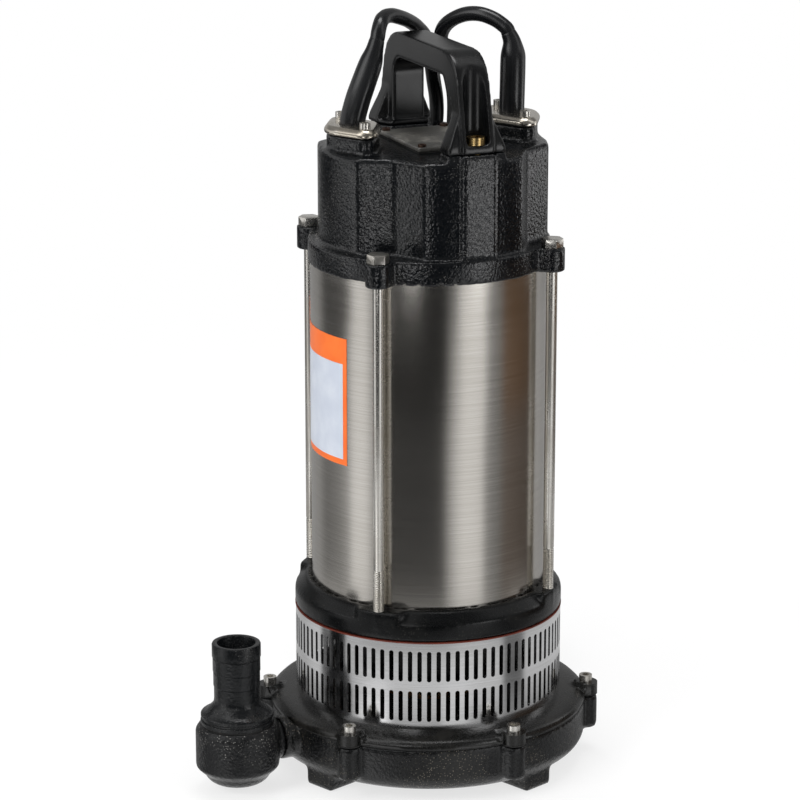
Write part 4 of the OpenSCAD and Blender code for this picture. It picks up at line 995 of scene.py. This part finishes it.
studioLook = {
    "ambient": 0.62,
    "floorSize": 9.0,
    "floorDrop": 0.0003,  # keeps the floor clear of the feet
    "floorTone": tone(248, 248, 248),
    "floorRough": 0.9,
    "floorGlow": 0.72,
    "floorFade": (0.1, 1.6),  # squared distances over which the floor turns to plain white
    "wallRadius": 0.55,
    "wallSides": 96,
    "wallLow": -0.35,
    "wallTop": 0.95,
    "roofRise": 0.12,
    "roofHole": 0.35,  # how much of the ring's width stays open overhead
    "wallStrength": 4.0,
    "rowBlend": 0.006,  # height over which a row of panels turns into the next
    "brownTint": (0.75, 0.05, -0.4),  # what a brown panel adds to red, green and blue
    "lampAim": (0, 0, 0.25),
    "lamps": {
        "keyLamp": {"spot": (-1.5, -1.5, 1.5), "size": 0.9, "power": 26.0},
        "fillLamp": {"spot": (1.7, -1.1, 1.1), "size": 1.1, "power": 12.0},
        "topLamp": {"spot": (0.1, 0.3, 1.9), "size": 0.9, "power": 12.0},
        "backLamp": {"spot": (-0.9, 1.3, 1.9), "size": 0.9, "power": 8.0},
    },
    # what the metal and the enamel mirror, row by row from the floor up: brightness by angle
    # from the front
    "panels": [
        {"upTo": -0.118, "bands": [
            (-180, 0.3), (-80, 0.35), (-62, 0.5), (-50, 1.6), (-36, 1.6), (-28, 0.45), (8, 0.35),
            (14, 0.8), (28, 0.8), (36, 0.35), (180, 0.3)]},
        {"upTo": -0.058, "bands": [
            (-180, 0.5), (-128, 0.55), (-108, 0.8), (-100, 0.85), (-97, 0.1), (-75, 0.1),
            (-72, 0.6), (-40, 0.8), (-10, 0.9), (30, 0.9), (60, 0.8), (65, 0.16), (82, 0.16),
            (86, 0.75), (130, 0.7), (180, 0.5)]},
        {"upTo": -0.04, "bands": [
            (-180, 0.3), (-118, 0.4), (-80, 0.7), (-60, 0.3), (20, 0.2), (60, 0.2), (90, 0.4),
            (180, 0.3)]},
        {"upTo": 0.125, "brown": (68, 112, 0.3), "bands": [
            (-180, 0.34), (-128, 0.34), (-112, 0.18), (-92, 0.26), (-80, 0.42), (-74, 0.95),
            (-60, 0.98), (-52, 0.5), (-44, 0.12), (-38, 0.05), (12, 0.05), (24, 0.75), (31, 0.98),
            (48, 0.92), (54, 0.3), (66, 0.22), (74, 0.12), (104, 0.08), (116, 0.06), (121, 0.5),
            (128, 0.42), (136, 0.34), (180, 0.34)]},
        {"upTo": 0.196, "brown": (68, 112, 0.9), "bands": [
            (-180, 0.34), (-128, 0.34), (-112, 0.1), (-92, 0.1), (-84, 0.2), (-74, 0.9),
            (-60, 0.98), (-52, 0.45), (-44, 0.1), (-38, 0.03), (14, 0.02), (25, 0.6), (32, 1.0),
            (50, 0.95), (56, 0.3), (66, 0.22), (74, 0.1), (104, 0.06), (116, 0.05), (121, 0.55),
            (128, 0.4), (136, 0.34), (180, 0.34)]},
        {"upTo": 0.262, "brown": (68, 112, 1.0), "bands": [
            (-180, 0.34), (-128, 0.3), (-112, 0.06), (-92, 0.05), (-80, 0.08), (-70, 0.9),
            (-60, 0.98), (-52, 0.45), (-44, 0.26), (-36, 0.16), (-26, 0.02), (14, 0.01), (24, 0.3),
            (30, 1.0), (48, 1.05), (56, 0.26), (66, 0.2), (74, 0.08), (104, 0.05), (116, 0.05),
            (121, 0.5), (128, 0.35), (136, 0.3), (180, 0.34)]},
        {"upTo": 0.375, "bands": [
            (-180, 0.5), (-158, 0.4), (-146, 0.08), (-124, 0.03), (-104, 0.03), (-100, 1.4),
            (-95, 1.4), (-91, 0.1), (-85, 0.1), (-81, 2.2), (-70, 2.2), (-65, 0.03), (-24, 0.02),
            (-20, 3.6), (-11, 3.6), (-7, 0.01), (34, 0.01), (40, 3.8), (53, 3.8), (58, 0.01),
            (98, 0.02), (102, 2.4), (112, 2.4), (118, 0.2), (180, 0.3)]},
        {"upTo": 0.62, "bands": [
            (-180, 0.45), (-130, 0.4), (-100, 0.8), (-84, 0.8), (-64, 0.1), (-30, 0.15),
            (-20, 0.35), (-8, 0.2), (20, 0.08), (34, 0.25), (60, 0.2), (80, 0.1), (100, 0.8),
            (114, 0.8), (130, 0.35), (180, 0.45)]},
        {"upTo": 2.0, "bands": [
            (-180, 0.2), (-90, 0.2), (-76, 1.8), (-46, 1.8), (-34, 0.15), (60, 0.12), (74, 0.9),
            (90, 0.9), (100, 0.15), (180, 0.2)]},
    ],
}


def seenRays(tree):
    # 1 for what the camera sees itself, in a mirror or through glass
    rays = tree.node("ShaderNodeLightPath", {}, {})
    return tree.either(*(Sock(tree, rays.outputs[kind]) for kind in (
        "Is Camera Ray", "Is Glossy Ray", "Is Transmission Ray")))


def stagePiece(name, bm, finish):
    mesh = meshOf(name, bm)
    mesh.materials.append(finish)
    piece = addObject(name, mesh)
    return piece


def makeWorld():
    world = bpy.data.worlds.new("studio")
    scene.world = world
    world.use_nodes = True
    tree = Nodes(world.node_tree)
    plain = world.node_tree.nodes["Background"]
    plain.inputs["Color"].default_value = (1, 1, 1, 1)
    plain.inputs["Strength"].default_value = studioLook["ambient"]
    white = tree.node("ShaderNodeBackground", {}, {"Color": (1, 1, 1, 1), "Strength": 1.0})
    tree.feed(world.node_tree.nodes["World Output"].inputs[0],
              tree.mixShader(seenRays(tree), plain, white))


def makeLamps():
    for name, look in studioLook["lamps"].items():
        lamp = bpy.data.lights.new(name, "AREA")
        lamp.size = look["size"]
        lamp.energy = look["power"]
        holder = addObject(name, lamp)
        holder.location = look["spot"]
        aim = Vector(studioLook["lampAim"]) - holder.location
        holder.rotation_euler = aim.to_track_quat("-Z", "Y").to_euler()


def makeFloor():
    look = studioLook
    f = Finish("studioFloor", {"Base Color": look["floorTone"], "Roughness": look["floorRough"],
                               "Specular IOR Level": 0.0})
    glow = f.node("ShaderNodeEmission", {}, {"Strength": 1.0})
    spot = f.place()
    away = f.part(spot, 0) * f.part(spot, 0) + f.part(spot, 1) * f.part(spot, 1)
    far = f.step(away, *look["floorFade"]) * (1 - look["floorGlow"])
    f.feed(f.tree.nodes["Material Output"].inputs[0],
           f.mixShader(seenRays(f) * (far + look["floorGlow"]), f.shader, glow))
    bm = bmesh.new()
    bmesh.ops.create_grid(bm, x_segments=2, y_segments=2, size=look["floorSize"] / 2)
    bmesh.ops.translate(bm, verts=bm.verts, vec=(0, 0, -look["floorDrop"]))
    floor = stagePiece("floor", bm, f.material)
    floor.visible_glossy = False


def panelStops(row):
    # a colour ramp's stops round the ring, brown between two angles where the row says so
    look = studioLook
    low, high, brown = row.get("brown", (0, 0, 0))
    stops = []
    for angle, bright in row["bands"]:
        warm = brown if low < angle < high else 0
        level = bright / look["wallStrength"]
        stops.append(((angle + 180) / 360,
                      (*(level * (1 + tint * warm) for tint in look["brownTint"]), 1)))
    return stops


def makePanels():
    # a ring of pale and dark panels that only shiny surfaces see
    look = studioLook
    finish = bpy.data.materials.new("studioPanels")
    finish.use_nodes = True
    tree = Nodes(finish.node_tree)
    finish.node_tree.nodes.remove(finish.node_tree.nodes["Principled BSDF"])
    spot = tree.place()
    height = tree.part(spot, 2)
    angle = tree.maths("ARCTAN2", tree.part(spot, 0), tree.part(spot, 1) * -1)
    turn = angle / (2 * math.pi) + 0.5
    colour = None
    for row in look["panels"]:
        band = tree.output(0, "ShaderNodeValToRGB", {"stops": panelStops(row)}, {0: turn})
        if colour is None:
            colour = band
        else:
            above = tree.step(height, edge - look["rowBlend"], edge + look["rowBlend"])
            colour = tree.blend(above, colour, band)
        edge = row["upTo"]
    glow = tree.output(0, "ShaderNodeEmission", {}, {0: colour, "Strength": look["wallStrength"]})
    tree.feed(finish.node_tree.nodes["Material Output"].inputs[0], glow)
    bm = bmesh.new()
    bmesh.ops.create_circle(bm, segments=look["wallSides"], radius=look["wallRadius"],
                            matrix=Matrix.Translation((0, 0, look["wallLow"])))
    raised = bmesh.ops.extrude_edge_only(bm, edges=bm.edges[:])
    bmesh.ops.translate(bm, vec=(0, 0, look["wallTop"] - look["wallLow"]), verts=vertsOf(raised))
    roof = bmesh.ops.extrude_edge_only(bm, edges=edgesOf(raised))
    bmesh.ops.translate(bm, vec=(0, 0, look["roofRise"]), verts=vertsOf(roof))
    bmesh.ops.scale(bm, vec=(look["roofHole"], look["roofHole"], 1), verts=vertsOf(roof))
    wall = stagePiece("panels", bm, finish)
    wall.visible_camera = False
    wall.visible_diffuse = False
    wall.visible_shadow = False
    wall.visible_transmission = False


makeWorld()
makeLamps()
makeFloor()
makePanels()
print("studio lit")
